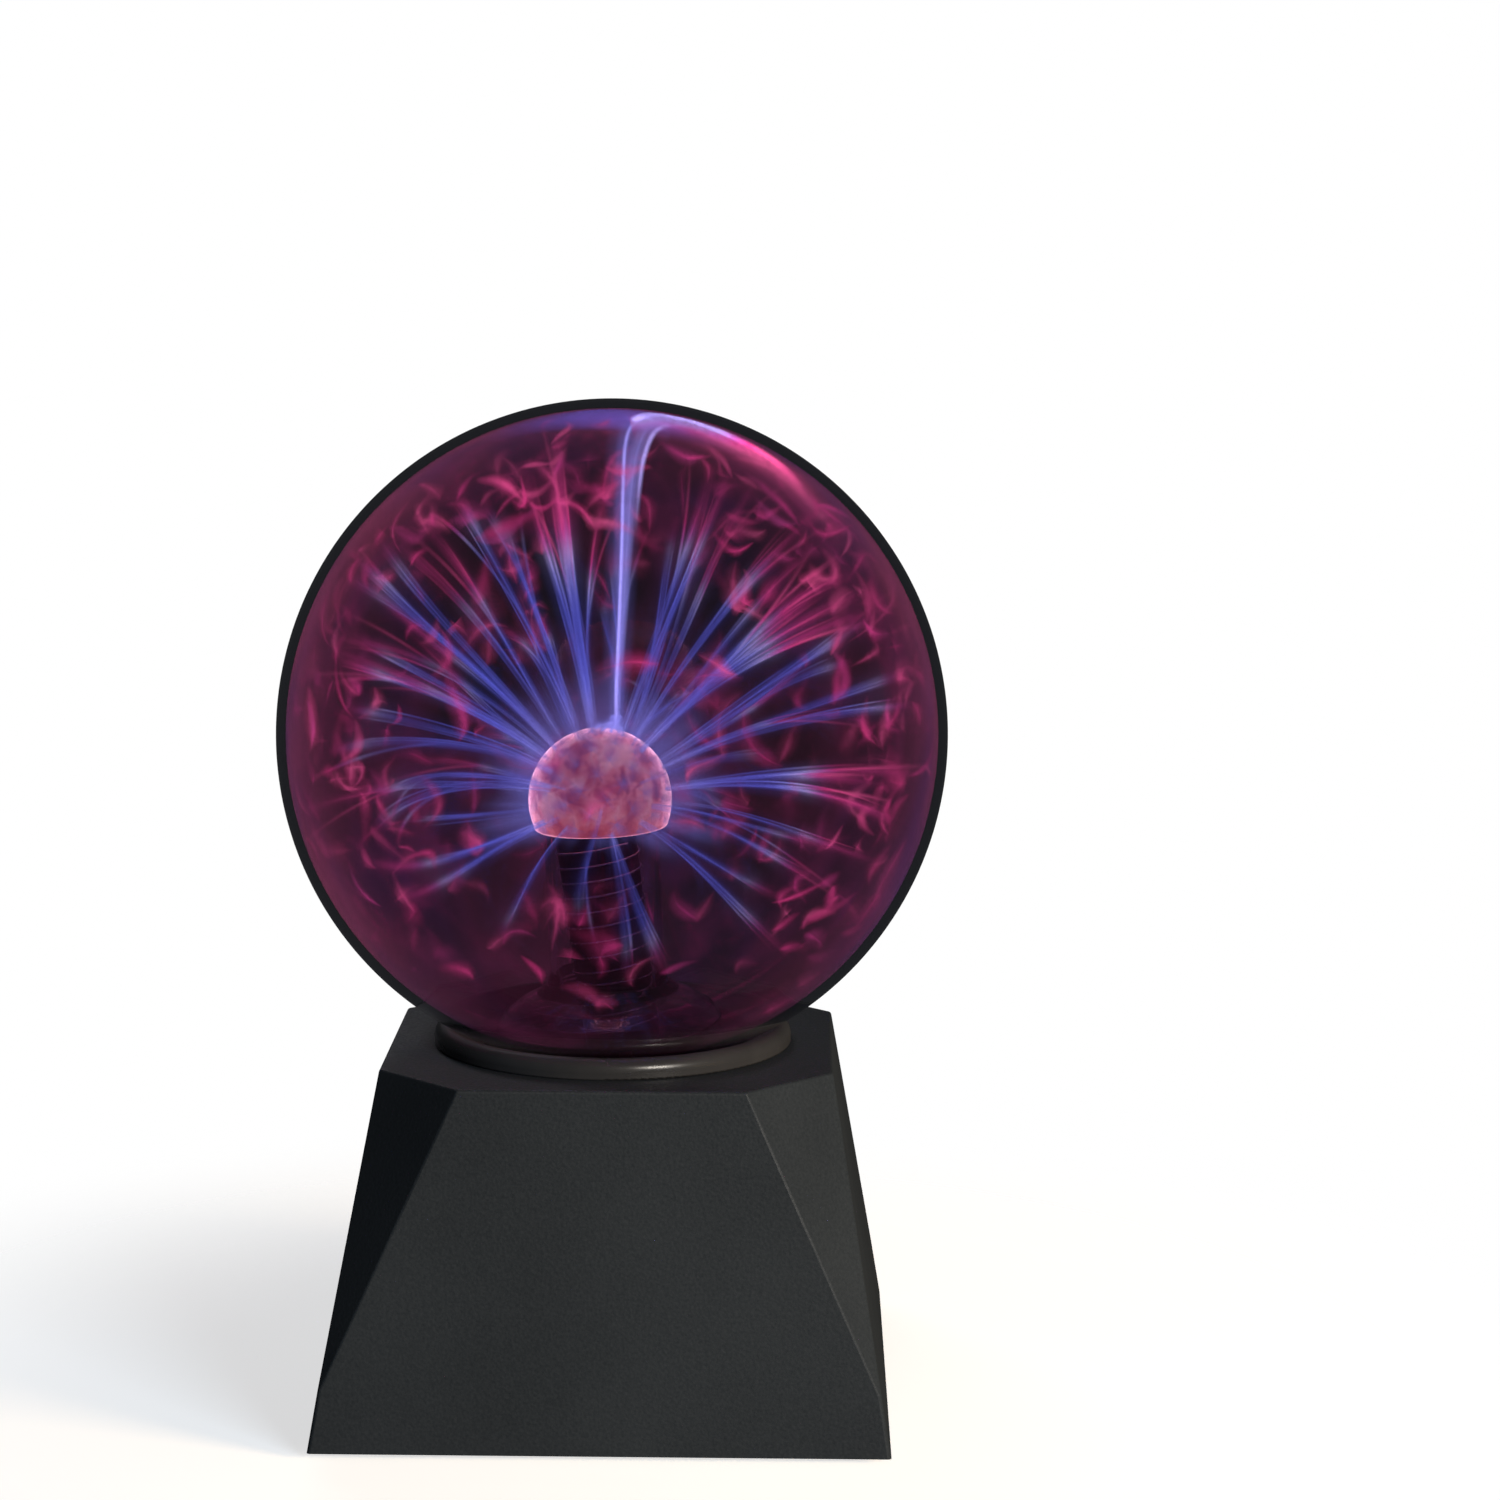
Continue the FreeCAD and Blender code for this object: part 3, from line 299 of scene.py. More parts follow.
class Ribbons:
    """Collects soft streamers as sets of crossing ribbons, and makes one mesh of them."""

    def __init__(self):
        self.v, self.f, self.count = [], [], 0
        self.a = {"across": [], "power": [], "tint": [], "heat": []}

    def strand(self, pts, width, power, tint, heat=0.0, planes=3, phase=None, limit=LIMIT_R, tangent_to_glass=False):
        pts = np.asarray(pts, float)
        n = len(pts)
        one = np.ones(n)
        width, power, tint, heat = width * one, power * one, tint * one, heat * one
        t = np.gradient(pts, axis=0)
        t /= np.linalg.norm(t, axis=1)[:, None]
        phase = RNG.uniform(0, math.pi) if phase is None else phase
        # a frame carried along the line
        u = np.zeros_like(t)
        seed = np.array([0.37, 0.61, -0.70])
        u[0] = unit(np.cross(t[0], seed))
        for i in range(1, n):
            w = u[i - 1] - t[i] * np.dot(u[i - 1], t[i])
            u[i] = w / np.linalg.norm(w)
        if tangent_to_glass:
            out = pts - G
            out /= np.linalg.norm(out, axis=1)[:, None]
            u = np.cross(out, t)
            u /= np.linalg.norm(u, axis=1)[:, None]
            phase = 0.0
        v = np.cross(t, u)
        for k in range(planes):
            ang = phase + math.pi * k / planes
            side = math.cos(ang) * u + math.sin(ang) * v
            scale = 1.0 if not (tangent_to_glass and k) else 0.6
            rows = np.stack([pts - side * width[:, None] * scale, pts, pts + side * width[:, None] * scale], axis=1)
            flat = rows.reshape(-1, 3)
            rel = flat - G
            r = np.linalg.norm(rel, axis=1)
            over = r > limit
            flat[over] = G + rel[over] * (limit / r[over])[:, None]
            base = self.count
            self.v.append(flat)
            i = np.arange(n - 1)
            for c in (0, 1):
                a = base + 3 * i + c
                self.f.append(np.stack([a, a + 1, a + 4, a + 3], axis=1))
            self.count += 3 * n
            self.a["across"].append(np.tile([-1.0, 0.0, 1.0], n))
            self.a["power"].append(np.repeat(power, 3))
            self.a["tint"].append(np.repeat(tint, 3))
            self.a["heat"].append(np.repeat(heat, 3))

    def make(self, name, material):
        o = new_object(name, np.concatenate(self.v), np.concatenate(self.f), attrs={
            k: np.concatenate(x) for k, x in self.a.items()})
        o.data.materials.append(material)
        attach(o, "base")
        o.visible_shadow = False
        return o


def bezier(p0, p1, p2, p3, n):
    t = np.linspace(0, 1, n)[:, None]
    return (1 - t) ** 3 * p0 + 3 * (1 - t) ** 2 * t * p1 + 3 * (1 - t) * t ** 2 * p2 + t ** 3 * p3


def smooth_path(points, n):
    """Catmull-Rom line through the points."""
    p = np.asarray(points, float)
    p = np.vstack([2 * p[0] - p[1], p, 2 * p[-1] - p[-2]])
    seg = len(p) - 3
    out = []
    for s in np.linspace(0, seg - 1e-6, n):
        i = int(s)
        t = s - i
        a, b, c, d = p[i], p[i + 1], p[i + 2], p[i + 3]
        out.append(0.5 * ((2 * b) + (c - a) * t + (2 * a - 5 * b + 4 * c - d) * t * t + (3 * b - a - 3 * c + d) * t ** 3))
    return np.array(out)


def ease(x, a, b):
    t = np.clip((np.asarray(x, float) - a) / (b - a), 0, 1)
    return t * t * (3 - 2 * t)


def across_pair(t):
    u = unit(np.cross(t, [0.2, 0.3, 0.93]))
    return u, np.cross(t, u)


# ------------------------------------------------------------------ discharge
tendrils = Ribbons()
halo = Ribbons()
wisps = Ribbons()


def glass_walk(start, toward, length, steps, wander, depth):
    """A curling line that creeps along inside the glass."""
    p = np.array(start, float)
    d = unit(toward)
    turn = RNG.normal(0, wander)
    out = [p.copy()]
    for i in range(steps):
        n = unit(p - G)
        d = d - n * np.dot(d, n)
        d = unit(d)
        turn = 0.72 * turn + RNG.normal(0, wander)
        side = np.cross(n, d)
        d = unit(d * math.cos(turn) + side * math.sin(turn))
        p = p + d * length / steps
        r = np.linalg.norm(p - G)
        goal = LIMIT_R - depth * (1 - 0.5 * i / steps)
        p = G + (p - G) / r * (r + (goal - r) * 0.35)
        out.append(p.copy())
    return np.array(out)


def flare(at, toward, count, reach, power, tint=0.90, depth=0.0012, spread=0.9, width=0.0017):
    """Soft pink tongues where a streamer meets the glass, some with a hot heart."""
    for k in range(count):
        n = unit(at - G)
        d = toward - n * np.dot(toward, n)
        d = unit(d) if np.linalg.norm(d) > 1e-6 else unit(np.cross(n, [0, 0, 1.0]))
        a = RNG.normal(0, spread)
        d = d * math.cos(a) + np.cross(n, d) * math.sin(a)
        length = reach * RNG.uniform(0.5, 1.2)
        line = glass_walk(at - d * length * 0.15, d, length, 10, 0.10, depth * RNG.uniform(0.3, 2.2))
        s = np.linspace(0, 1, len(line))
        swell = 0.35 + 0.95 * np.sin(math.pi * s ** 0.8)
        w = width * RNG.uniform(0.6, 1.5) * swell
        p = power * RNG.uniform(0.45, 1.1) * (1 - s) ** 0.8 * ease(s, -0.05, 0.30)
        hue = tint + RNG.uniform(-0.10, 0.04)
        wisps.strand(line, w, 0.62 * p, hue, planes=2, tangent_to_glass=True)
        if RNG.random() < 0.55:
            wisps.strand(line[:8], w[:8] * 0.46, 0.85 * p[:8] * (1 - s[:8]), hue + 0.03,
                         heat=0.22 * power, planes=2, tangent_to_glass=True)


def tendril(az, el, bright=1.0, strands=2, reach=0.0715, lift=0.0, fan=1.0, size=1.0, pink=0.74, flares=1):
    end = G + heading(az, el) * reach
    way = unit(end - D)
    # it leaves the ball a little higher than the straight line
    leave = unit(way + np.array([0, 0, 0.10 * lift]) + RNG.normal(0, 0.05, 3))
    if leave[2] < -0.32:
        leave = unit([leave[0], leave[1], -0.32])
    start = D + leave * (DOME_R + 0.0001)
    span = np.linalg.norm(end - start)
    c1 = start + leave * span * 0.34
    c2 = end - way * span * 0.30 + np.array([0, 0, 0.0035 * lift]) + RNG.normal(0, 0.0022, 3)
    n = 34
    s = np.linspace(0, 1, n)
    spine = bezier(start, c1, c2, end, n)
    u, v = across_pair(way)
    swing = RNG.uniform(0, 2 * math.pi)
    turn_pink = RNG.uniform(0.26, 0.70)

    def hue(s):
        return 0.36 - 0.22 * ease(s, 0.0, 0.30) + (pink - 0.06) * ease(s, turn_pink, min(1.0, turn_pink + 0.38))

    for k in range(strands):
        ang = swing + 2 * math.pi * k / strands + RNG.uniform(-0.4, 0.4)
        twist = RNG.uniform(-1.2, 1.2)
        off = (0.0002 + 0.0016 * s + 0.0052 * fan * s ** 2.6) * (0.5 if strands == 1 else 1.0)
        line = spine + np.outer(off * np.cos(ang + twist * s), u) + np.outer(off * np.sin(ang + twist * s), v)
        amp = bright * RNG.uniform(0.55, 1.1)
        ripple = 1 + 0.25 * np.sin(RNG.uniform(7, 12) * s + RNG.uniform(0, 6))
        fade = (1 - 0.8 * ease(s, RNG.uniform(0.6, 0.86), 1.0)) * ease(s, -0.05, 0.03)
        p = amp * (1.0 - 0.50 * s) * ripple * fade
        tint = hue(s)
        w = 0.00095 * size * (0.72 + 0.8 * s + 0.9 * s ** 3)
        tendrils.strand(line, w, 0.20 * p, tint, planes=3)
        halo.strand(line[::2], w[::2] * 2.9, 0.050 * p[::2], tint[::2] - 0.03, planes=3)
        # filaments inside the streamer, drifting from side to side
        for j in range(2 + int(RNG.random() < 0.5)):
            a0, a1 = RNG.uniform(0, 6.3), RNG.uniform(-2.5, 2.5)
            r = w * RNG.uniform(0.35, 0.95)
            q = line + np.outer(r * np.cos(a0 + a1 * s), u) + np.outer(r * np.sin(a0 + a1 * s), v)
            i1 = n if RNG.random() < 0.6 else int(n * RNG.uniform(0.55, 0.9))
            f2_ = (1 - ease(np.linspace(0, 1, i1), 0.7, 1.0))
            tendrils.strand(q[:i1], 0.00030 * size * (0.8 + 0.7 * s[:i1]), RNG.uniform(0.22, 0.55) * p[:i1] * f2_,
                            tint[:i1] + 0.08, heat=0.40 * amp * (1 - ease(s[:i1], 0, 0.25)), planes=2)
        if flares:
            flare(line[-2], unit(line[-1] - line[-4]) + np.array([0, 0, 0.35]), flares, 0.0110 * size, 0.46 * bright)
        # a thin thread that splits off on the way
        if RNG.random() < 0.65:
            i0 = int(n * RNG.uniform(0.35, 0.62))
            side = unit(RNG.normal(0, 1, 3))
            d0 = unit(line[i0 + 1] - line[i0])
            side = unit(side - d0 * np.dot(side, d0))
            q = line[i0:]
            ss = np.linspace(0, 1, len(q))
            q = q + np.outer(ss ** 1.6 * RNG.uniform(0.004, 0.010), side)
            tendrils.strand(q, w[i0:] * 0.42, 0.26 * p[i0:] * ease(ss, 0, 0.2), np.minimum(tint[i0:] + 0.10, 0.98))
            if flares:
                flare(q[-1], unit(q[-1] - q[-3]), 1, 0.009, 0.38 * bright)


# the streamers of the side that faces the viewer: azimuth, elevation on the glass, brightness, strands
FRONT = [
    (-158, 36, 1.10, 3), (-149, 30, 0.60, 1), (-153, 17, 0.60, 1), (-141, 5, 0.62, 2), (-139, -25, 1.10, 2),
    (-140, 51, 0.85, 1), (-118, 68, 1.05, 3), (-103, 60, 0.75, 1), (-137, -8, 0.75, 2), (-112, -35, 0.40, 1),
    (-46, 57, 1.00, 2), (-40, 44, 0.60, 1), (-32, 29, 1.10, 3), (-25, 49, 0.55, 1), (-12, 8, 0.62, 2),
    (-25, -6, 0.95, 3), (-44, -17, 0.90, 2), (-56, -30, 0.70, 2), (-91, -24, 0.60, 1), (-81, -36, 0.65, 2),
    (-121, -23, 0.45, 1), (-59, 3, 0.50, 1), (-118, 2, 0.50, 1), (-172, -10, 0.55, 1), (-8, 27, 0.55, 1),
]
# the far side and the sides
BACK = [
    (107, 60, 0.75, 2), (128, 43, 0.70, 2), (140, 10, 0.65, 2), (148, -26, 0.60, 1), (66, 44, 0.80, 2),
    (17, 14, 0.70, 2), (8, -24, 0.65, 1), (24, 34, 0.75, 2), (91, 30, 0.70, 2), (112, -36, 0.45, 1),
    (168, 14, 0.70, 2), (166, 44, 0.80, 2), (46, 4, 0.75, 2), (80, 4, 0.80, 3), (58, -24, 0.65, 2),
    (88, -26, 0.60, 1), (116, -8, 0.75, 2), (116, 20, 0.70, 2), (-178, 22, 0.45, 1), (34, 58, 0.65, 2),
]
for az, el, b, k in FRONT:
    tendril(az, el, b * RNG.uniform(0.75, 1.1), k, lift=RNG.uniform(0.2, 1.8), fan=RNG.uniform(0.5, 1.5),
            size=RNG.uniform(0.85, 1.25))
for az, el, b, k in BACK:
    tendril(az, el, 0.75 * b, k, lift=RNG.uniform(0.2, 1.8), fan=RNG.uniform(0.5, 1.5), size=RNG.uniform(0.85, 1.25),
            reach=RNG.uniform(0.060, 0.0715))

# the one strong streamer to the touched place, its hook under the glass and the bright arc along it
main = Ribbons()
TOP = G[2]


def gp(x, y, z):
    return np.array([x, y, z]) * 0.001 + np.array([0, 0, TOP])


stem_line = smooth_path([gp(0.9, -1.0, 1.2), gp(0.8, -1.3, 5.0), gp(0.9, -1.8, 12.0), gp(1.5, -2.0, 26.0),
                         gp(2.1, -2.2, 44.0), gp(2.4, -2.2, 58.0), gp(2.9, -2.2, 66.0), gp(4.4, -2.0, 70.2),
                         gp(8.0, -1.8, 72.1), gp(13.0, -1.6, 71.9)], 70)
s = np.linspace(0, 1, 70)
main.strand(stem_line, 0.00055 + 0.00025 * s, 0.80 - 0.42 * ease(s, 0.1, 0.7), 0.46, heat=0.9 - 0.45 * ease(s, 0.1, 0.5))
body_line = smooth_path([gp(1.0, -1.0, 1.0), gp(1.0, -1.4, 6.0), gp(1.3, -1.8, 14.0), gp(2.4, -2.0, 28.0),
                         gp(3.3, -2.2, 44.0), gp(4.2, -2.2, 56.0), gp(5.4, -2.2, 64.0), gp(8.0, -2.0, 69.6),
                         gp(13.0, -1.8, 71.4), gp(19.0, -1.6, 70.6)], 70)
w = 0.0010 + 0.0015 * ease(s, 0.1, 0.7)
main.strand(body_line, w, 0.16 * (1 - 0.3 * ease(s, 0.75, 1.0)), 0.44, heat=0.20, phase=0.2)
main.strand(body_line + np.array([0.0017, 0, -0.0006]), 0.0007 + 0.0003 * s, 0.40 * ease(s, 0.45, 0.7), 0.52, heat=0.35)
main.strand(stem_line, 0.0030 + 0.0030 * s, 0.085, 0.36)
# roots: a bright cone at the ball's top
for k in range(9):
    a = 2 * math.pi * k / 9
    foot = D + unit([0.13 + 0.20 * math.cos(a), 0.20 * math.sin(a), 1.0]) * DOME_R
    line = bezier(foot, foot + np.array([0, 0, 0.0012]), stem_line[3] + np.array([0, 0, -0.001]), stem_line[7], 12)
    q = np.linspace(0, 1, 12)
    main.strand(line, 0.00055, 0.60 * (1 - 0.4 * q), 0.42, heat=1.0)
    main.strand(line, 0.0019, 0.10, 0.36, heat=0.4)
arc = smooth_path([gp(4.0, -3.0, 70.6), gp(9.0, -3.0, 71.9), gp(14.0, -3.5, 71.4), gp(20.0, -4.0, 69.8),
                   gp(27.0, -5.5, 67.0), gp(34.0, -8.0, 63.2), gp(41.0, -11.0, 57.6), gp(47.0, -14.0, 50.8),
                   gp(53.0, -16.0, 43.0)], 60)
s = np.linspace(0, 1, 60)
peak = ease(s, 0.0, 0.10) * (1 - ease(s, 0.20, 0.85))
hot = Ribbons()
main.strand(arc, 0.0012 + 0.0008 * s, 1.2 * ease(s, 0, 0.1) * (1 - ease(s, 0.42, 0.85)), 0.56 + 0.36 * ease(s, 0.3, 0.6), heat=1.3 * (1 - ease(s, 0.38, 0.62)))
main.strand(arc + np.array([0, 0, -0.0008]), 0.0018 + 0.0014 * s, 0.26 * ease(s, 0.0, 0.1) * (1 - ease(s, 0.40, 0.95)),
            0.62 + 0.34 * ease(s, 0.1, 0.5))
main.strand(arc * 1.0, 0.0050 + 0.0020 * s, 0.07 * (1 - ease(s, 0.5, 1.0)), 0.90)
hot.strand(arc + np.array([0, -0.0024, 0.0007]), 0.00085 + 0.0002 * s, 1.5 * ease(s, 0.0, 0.06) * (1 - ease(s, 0.48, 0.78)),
            0.54 + 0.36 * ease(s, 0.40, 0.62), heat=1.5 * (1 - ease(s, 0.42, 0.62)), limit=INNER_R - 0.0006)
for k in range(16):
    at = arc[int(RNG.integers(6, 52))]
    flare(at, np.array([1.0, RNG.uniform(-0.8, 0.8), -0.2]), 1, 0.016, 0.42, tint=0.90, spread=0.7)

# blue glow that creeps along the glass over the top
for k in range(7):
    y = -12.0 + 4.0 * k + RNG.uniform(-1, 1)
    x0 = RNG.uniform(-34, -20)
    x1 = RNG.uniform(26, 40)

    def cap(x, y_):
        return gp(x, y_, math.sqrt(max(0.0, 73.6 ** 2 - x * x - y_ * y_)))

    crest = smooth_path([cap(x0 + (x1 - x0) * f, y + 3.0 * math.sin(5 * f + k)) for f in (0, 0.2, 0.4, 0.6, 0.8, 1.0)], 30)
    q = np.linspace(0, 1, 30)
    main.strand(crest, 0.0030 + 0.0045 * np.sin(math.pi * q), 0.13 * np.sin(math.pi * q) ** 1.5, 0.16, planes=2,
                tangent_to_glass=True, limit=INNER_R - 0.0003)

# curls of pink gas close to the glass, everywhere but the bottom
golden = math.pi * (3 - math.sqrt(5))
COUNT = 190
for i in range(COUNT):
    z = 1 - 2 * (i + 0.5) / COUNT
    if z < -0.80:
        continue
    a = golden * i + RNG.normal(0, 0.16)
    z = min(0.995, max(-0.80, z + RNG.normal(0, 0.03)))
    d = np.array([math.cos(a) * math.sqrt(1 - z * z), math.sin(a) * math.sqrt(1 - z * z), z])
    reach = RNG.uniform(0.0655, 0.0730)
    strong = RNG.random() ** 3.0
    power = 0.07 + 0.50 * strong
    up = np.array([RNG.normal(0, 0.4), RNG.normal(0, 0.4), 0.9])
    flare(G + d * reach, up, 1 + int(RNG.random() < 0.45), 0.010 + 0.007 * strong, power, tint=0.88,
          depth=0.074 - reach, spread=0.9, width=0.0018 + 0.0016 * (1 - strong))

# places where the pink gas burns brightest
for az, el, r, b in ((-147, -4, 0.069, 1.0), (-34, 33, 0.0675, 0.9), (-122, 56, 0.068, 0.9), (-52, 48, 0.069, 0.7),
                     (-66, -8, 0.058, 0.7), (-128, 26, 0.060, 0.5), (-44, -30, 0.066, 0.6), (-20, 20, 0.068, 0.6),
                     (-134, -16, 0.062, 0.7), (-150, 44, 0.069, 0.6), (-88, 52, 0.070, 0.6), (-24, -16, 0.066, 0.7),
                     (-100, -34, 0.062, 0.5), (-12, 44, 0.069, 0.5), (120, 30, 0.066, 0.7), (60, 25, 0.066, 0.7),
                     (90, -12, 0.068, 0.7), (150, 0, 0.068, 0.7), (20, 0, 0.068, 0.7), (100, 50, 0.068, 0.7)):
    here = G + heading(az, el) * r
    for j in range(4):
        q = here + RNG.normal(0, 0.0035, 3)
        flare(q, np.array([RNG.normal(0, 0.5), RNG.normal(0, 0.5), 0.8]), 1, 0.011, 0.62 * b, tint=0.90,
              depth=0.074 - r, spread=0.9, width=0.0021)

# the violet mist round the ball, as many short soft rays
mist = Ribbons()
for i in range(96):
    z = 1 - 1.45 * (i + 0.5) / 96
    a = golden * i
    d = np.array([math.cos(a) * math.sqrt(1 - z * z), math.sin(a) * math.sqrt(1 - z * z), z])
    length = RNG.uniform(0.007, 0.019)
    p0 = D + d * (DOME_R - 0.0008)
    p1 = D + d * (DOME_R + length) + np.array([0, 0, 0.0012])
    line = bezier(p0, p0 * 0.66 + p1 * 0.34, p0 * 0.34 + p1 * 0.66, p1, 9)
    q = np.linspace(0, 1, 9)
    mist.strand(line, 0.0032 + 0.0024 * q, 0.23 * (1 - q) ** 1.3, 0.35, planes=3)

piece = tendrils.make("discharge_streamers", glow_material("gas_streamers", 2.0, soft=1.7))
piece = halo.make("discharge_halos", glow_material("gas_halos", 1.7, soft=2.0))
piece = main.make("discharge_main_arc", glow_material("gas_arc", 3.2, soft=1.5))
piece = hot.make("discharge_hot_arc", glow_material("gas_hot", 8.0, soft=1.6))
piece = wisps.make("discharge_wisps", glow_material("gas_wisps", 2.1, grain=0.45, grain_scale=110.0, soft=2.2))
piece = mist.make("discharge_mist", glow_material("gas_mist", 1.2, soft=2.0))


def veil(name, radius, seed, scale, strength, cover, low_haze):
    """A thin sheet of faint glow near the glass, mottled by slow noise."""
    prof = [(0.0, radius)]
    steps = 90
    for i in range(1, steps):
        a = math.pi * i / steps
        prof.append((radius * math.sin(a), radius * math.cos(a)))
        if math.cos(a) < -0.88:
            break
    o = lathe(name, prof, 160, G, np.array([0, 0, 1.0]), closed=False)
    m = Mat(name + "_glow")
    p = m.shift(m.place(), move=(seed, seed * 0.7, -seed), scale=(1, 1, 0.62))
    warp = m.node("TexNoise", Vector=p, Scale=scale * 0.7, Detail=2.0).outputs[1]
    pv = m.node("VectorMath", {"operation": "SCALE"})
    m.t.links.new(warp, pv.inputs[0])
    pv.inputs[3].default_value = 0.030
    pw = m.node("VectorMath", {"operation": "ADD"})
    m.t.links.new(p, pw.inputs[0])
    m.t.links.new(pv.outputs[0], pw.inputs[1])
    n = m.noise(pw.outputs[0], scale, 3.0, 0.45)
    a = m.math("POWER", m.range(n, cover, 0.74, smooth=True), 1.5)
    z = m.node("SeparateXYZ", Vector=m.place()).outputs[2]
    low = m.math("MULTIPLY", m.range(z, G[2] - 0.060, G[2] + 0.02, low_haze, 0.02), m.range(z, G[2] - 0.071, G[2] - 0.055, 0.12, 1.0))
    low = m.math("MULTIPLY", low, m.range(m.noise(pw.outputs[0], 19.0, 3.0, 0.5), 0.42, 0.60, 0.10, 1.7, smooth=True))
    a = m.math("ADD", m.math("MULTIPLY", a, 0.30), m.math("MULTIPLY", low, 0.5), clamp=True)
    col = m.ramp(m.noise(pw.outputs[0], scale * 0.8, 2.0), [(0.3, (0.17, 0.05, 0.26)), (0.5, (0.44, 0.07, 0.22)), (0.7, (0.76, 0.08, 0.28))])
    e = m.node("Emission", Color=col, Strength=strength)
    t = m.node("BsdfTransparent")
    s = m.node("MixShader", i0=a)
    m.t.links.new(t.outputs[0], s.inputs[1])
    m.t.links.new(e.outputs[0], s.inputs[2])
    m.m.cycles.emission_sampling = "NONE"
    o.data.materials.append(m.finish(s.outputs[0]))
    o.visible_shadow = False
    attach(o, "base")
    return o


veil("discharge_veil_outer", 0.0731, 0.13, 34.0, 0.42, 0.46, 0.15)
veil("discharge_veil_inner", 0.0668, 0.57, 44.0, 0.36, 0.50, 0.08)


def painted_glass_reflection():
    """Painted reflection: an emitting shell just inside the glass stands in for the gas's light reflected by the glass,
    brighter where the look is steep.
    """
    radius = INNER_R - 0.0002
    prof = [(0.0, radius)]
    for i in range(1, 120):
        a = math.pi * i / 120
        prof.append((radius * math.sin(a), radius * math.cos(a)))
        if math.cos(a) < -0.90:
            break
    o = lathe("globe_painted_reflection", prof, 192, G, np.array([0, 0, 1.0]), closed=False)
    m = Mat("glass_painted_reflection")
    f = m.node("LayerWeight", Blend=0.5).outputs["Facing"]
    p = m.place()
    n = m.noise(m.shift(p, scale=(1, 1, 0.8)), 42.0, 4.0, 0.6, 0.8)
    a = m.math("MULTIPLY", m.math("POWER", f, 3.8), m.range(n, 0.32, 0.66, 0.62, 1.3))
    a = m.math("MULTIPLY", a, m.range(m.node("SeparateXYZ", Vector=p).outputs[2], G[2] - 0.066, G[2] - 0.034, 0.03, 1.0))
    a = m.math("MULTIPLY", a, 0.75, clamp=True)
    col = m.ramp(m.noise(m.shift(p, move=(0.3, 0.1, 0.2)), 26.0, 2.0), [(0.32, (0.16, 0.05, 0.22)), (0.5, (0.42, 0.075, 0.20)), (0.68, (0.56, 0.085, 0.20))])
    # colour and strength of the painted reflection of the gas light
    e = m.node("Emission", Color=col, Strength=1.25)
    t = m.node("BsdfTransparent")
    s = m.node("MixShader", i0=a)
    m.t.links.new(t.outputs[0], s.inputs[1])
    m.t.links.new(e.outputs[0], s.inputs[2])
    m.m.cycles.emission_sampling = "NONE"
    o.data.materials.append(m.finish(s.outputs[0]))
    o.visible_shadow = False
    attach(o, "base")


# painted reflection of the gas light in the glass, as an emitting shell
painted_glass_reflection()

# ------------------------------------------------------------------ electrode ball
lower = -DOME_DROP
prof = [(0.0, DOME_R)]
edge_r = 0.0012
full = math.sqrt(DOME_R ** 2 - lower ** 2)
a_end = math.acos((lower + edge_r * 0.8) / DOME_R)
for i in range(1, 60):
    a = a_end * i / 59
    prof.append((DOME_R * math.sin(a), DOME_R * math.cos(a)))
r_last, h_last = prof[-1]
for i in range(1, 9):
    b = math.pi / 2 * i / 8
    prof.append((r_last - 0.0010 * (1 - math.cos(b)), h_last - (h_last - lower) * math.sin(b)))
prof.append((0.01365, lower))
prof.append((0.01325, lower + 0.0004))
prof.append((0.01325, lower + 0.004))
dome = lathe("electrode_ball", prof, 128, D, AXIS, closed=False)
m = Mat("electrode_glow")
p = m.place()
spots = m.noise(p, 210.0, 3.0, 0.55, 0.9)
cells = m.node("TexVoronoi", {"feature": "SMOOTH_F1"}, Vector=p, Scale=150.0, Smoothness=0.6).outputs[0]
mixv = m.math("ADD", m.math("MULTIPLY", spots, 0.72), m.math("MULTIPLY", cells, 0.42))
col = m.ramp(mixv, [(0.34, (0.20, 0.04, 0.22)), (0.46, (0.50, 0.08, 0.22)), (0.57, (0.80, 0.20, 0.38)), (0.70, (0.98, 0.40, 0.62))])
zz = m.node("SeparateXYZ", Vector=p).outputs[2]
foot = m.range(zz, D[2] - DOME_DROP, D[2] + 0.004, 1.0, 0.0, smooth=True)
warm = m.node("Mix", {"data_type": "RGBA", "blend_type": "MIX"})
m.t.links.new(m.math("MULTIPLY", foot, 0.55), warm.inputs[0])
m.t.links.new(col, warm.inputs[6])
warm.inputs[7].default_value = (0.85, 0.09, 0.07, 1)
f = m.node("LayerWeight", Blend=0.5).outputs["Facing"]
rim = m.math("POWER", f, 3.2)
mix = m.node("Mix", {"data_type": "RGBA"})
m.t.links.new(m.math("MULTIPLY", rim, 1.0, clamp=True), mix.inputs[0])
m.t.links.new(warm.outputs[2], mix.inputs[6])
mix.inputs[7].default_value = (1.0, 0.52, 0.66, 1)
b = m.node("BsdfPrincipled", Base_Color=(0.05, 0.02, 0.03, 1), Roughness=0.18, Emission_Color=mix.outputs[2])
stren = m.math("ADD", 0.80, m.math("MULTIPLY", rim, 5.2))
m.t.links.new(stren, b.inputs["Emission Strength"])
dome.data.materials.append(m.finish(b.outputs[0]))
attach(dome, "base")
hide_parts("electrode_dome")

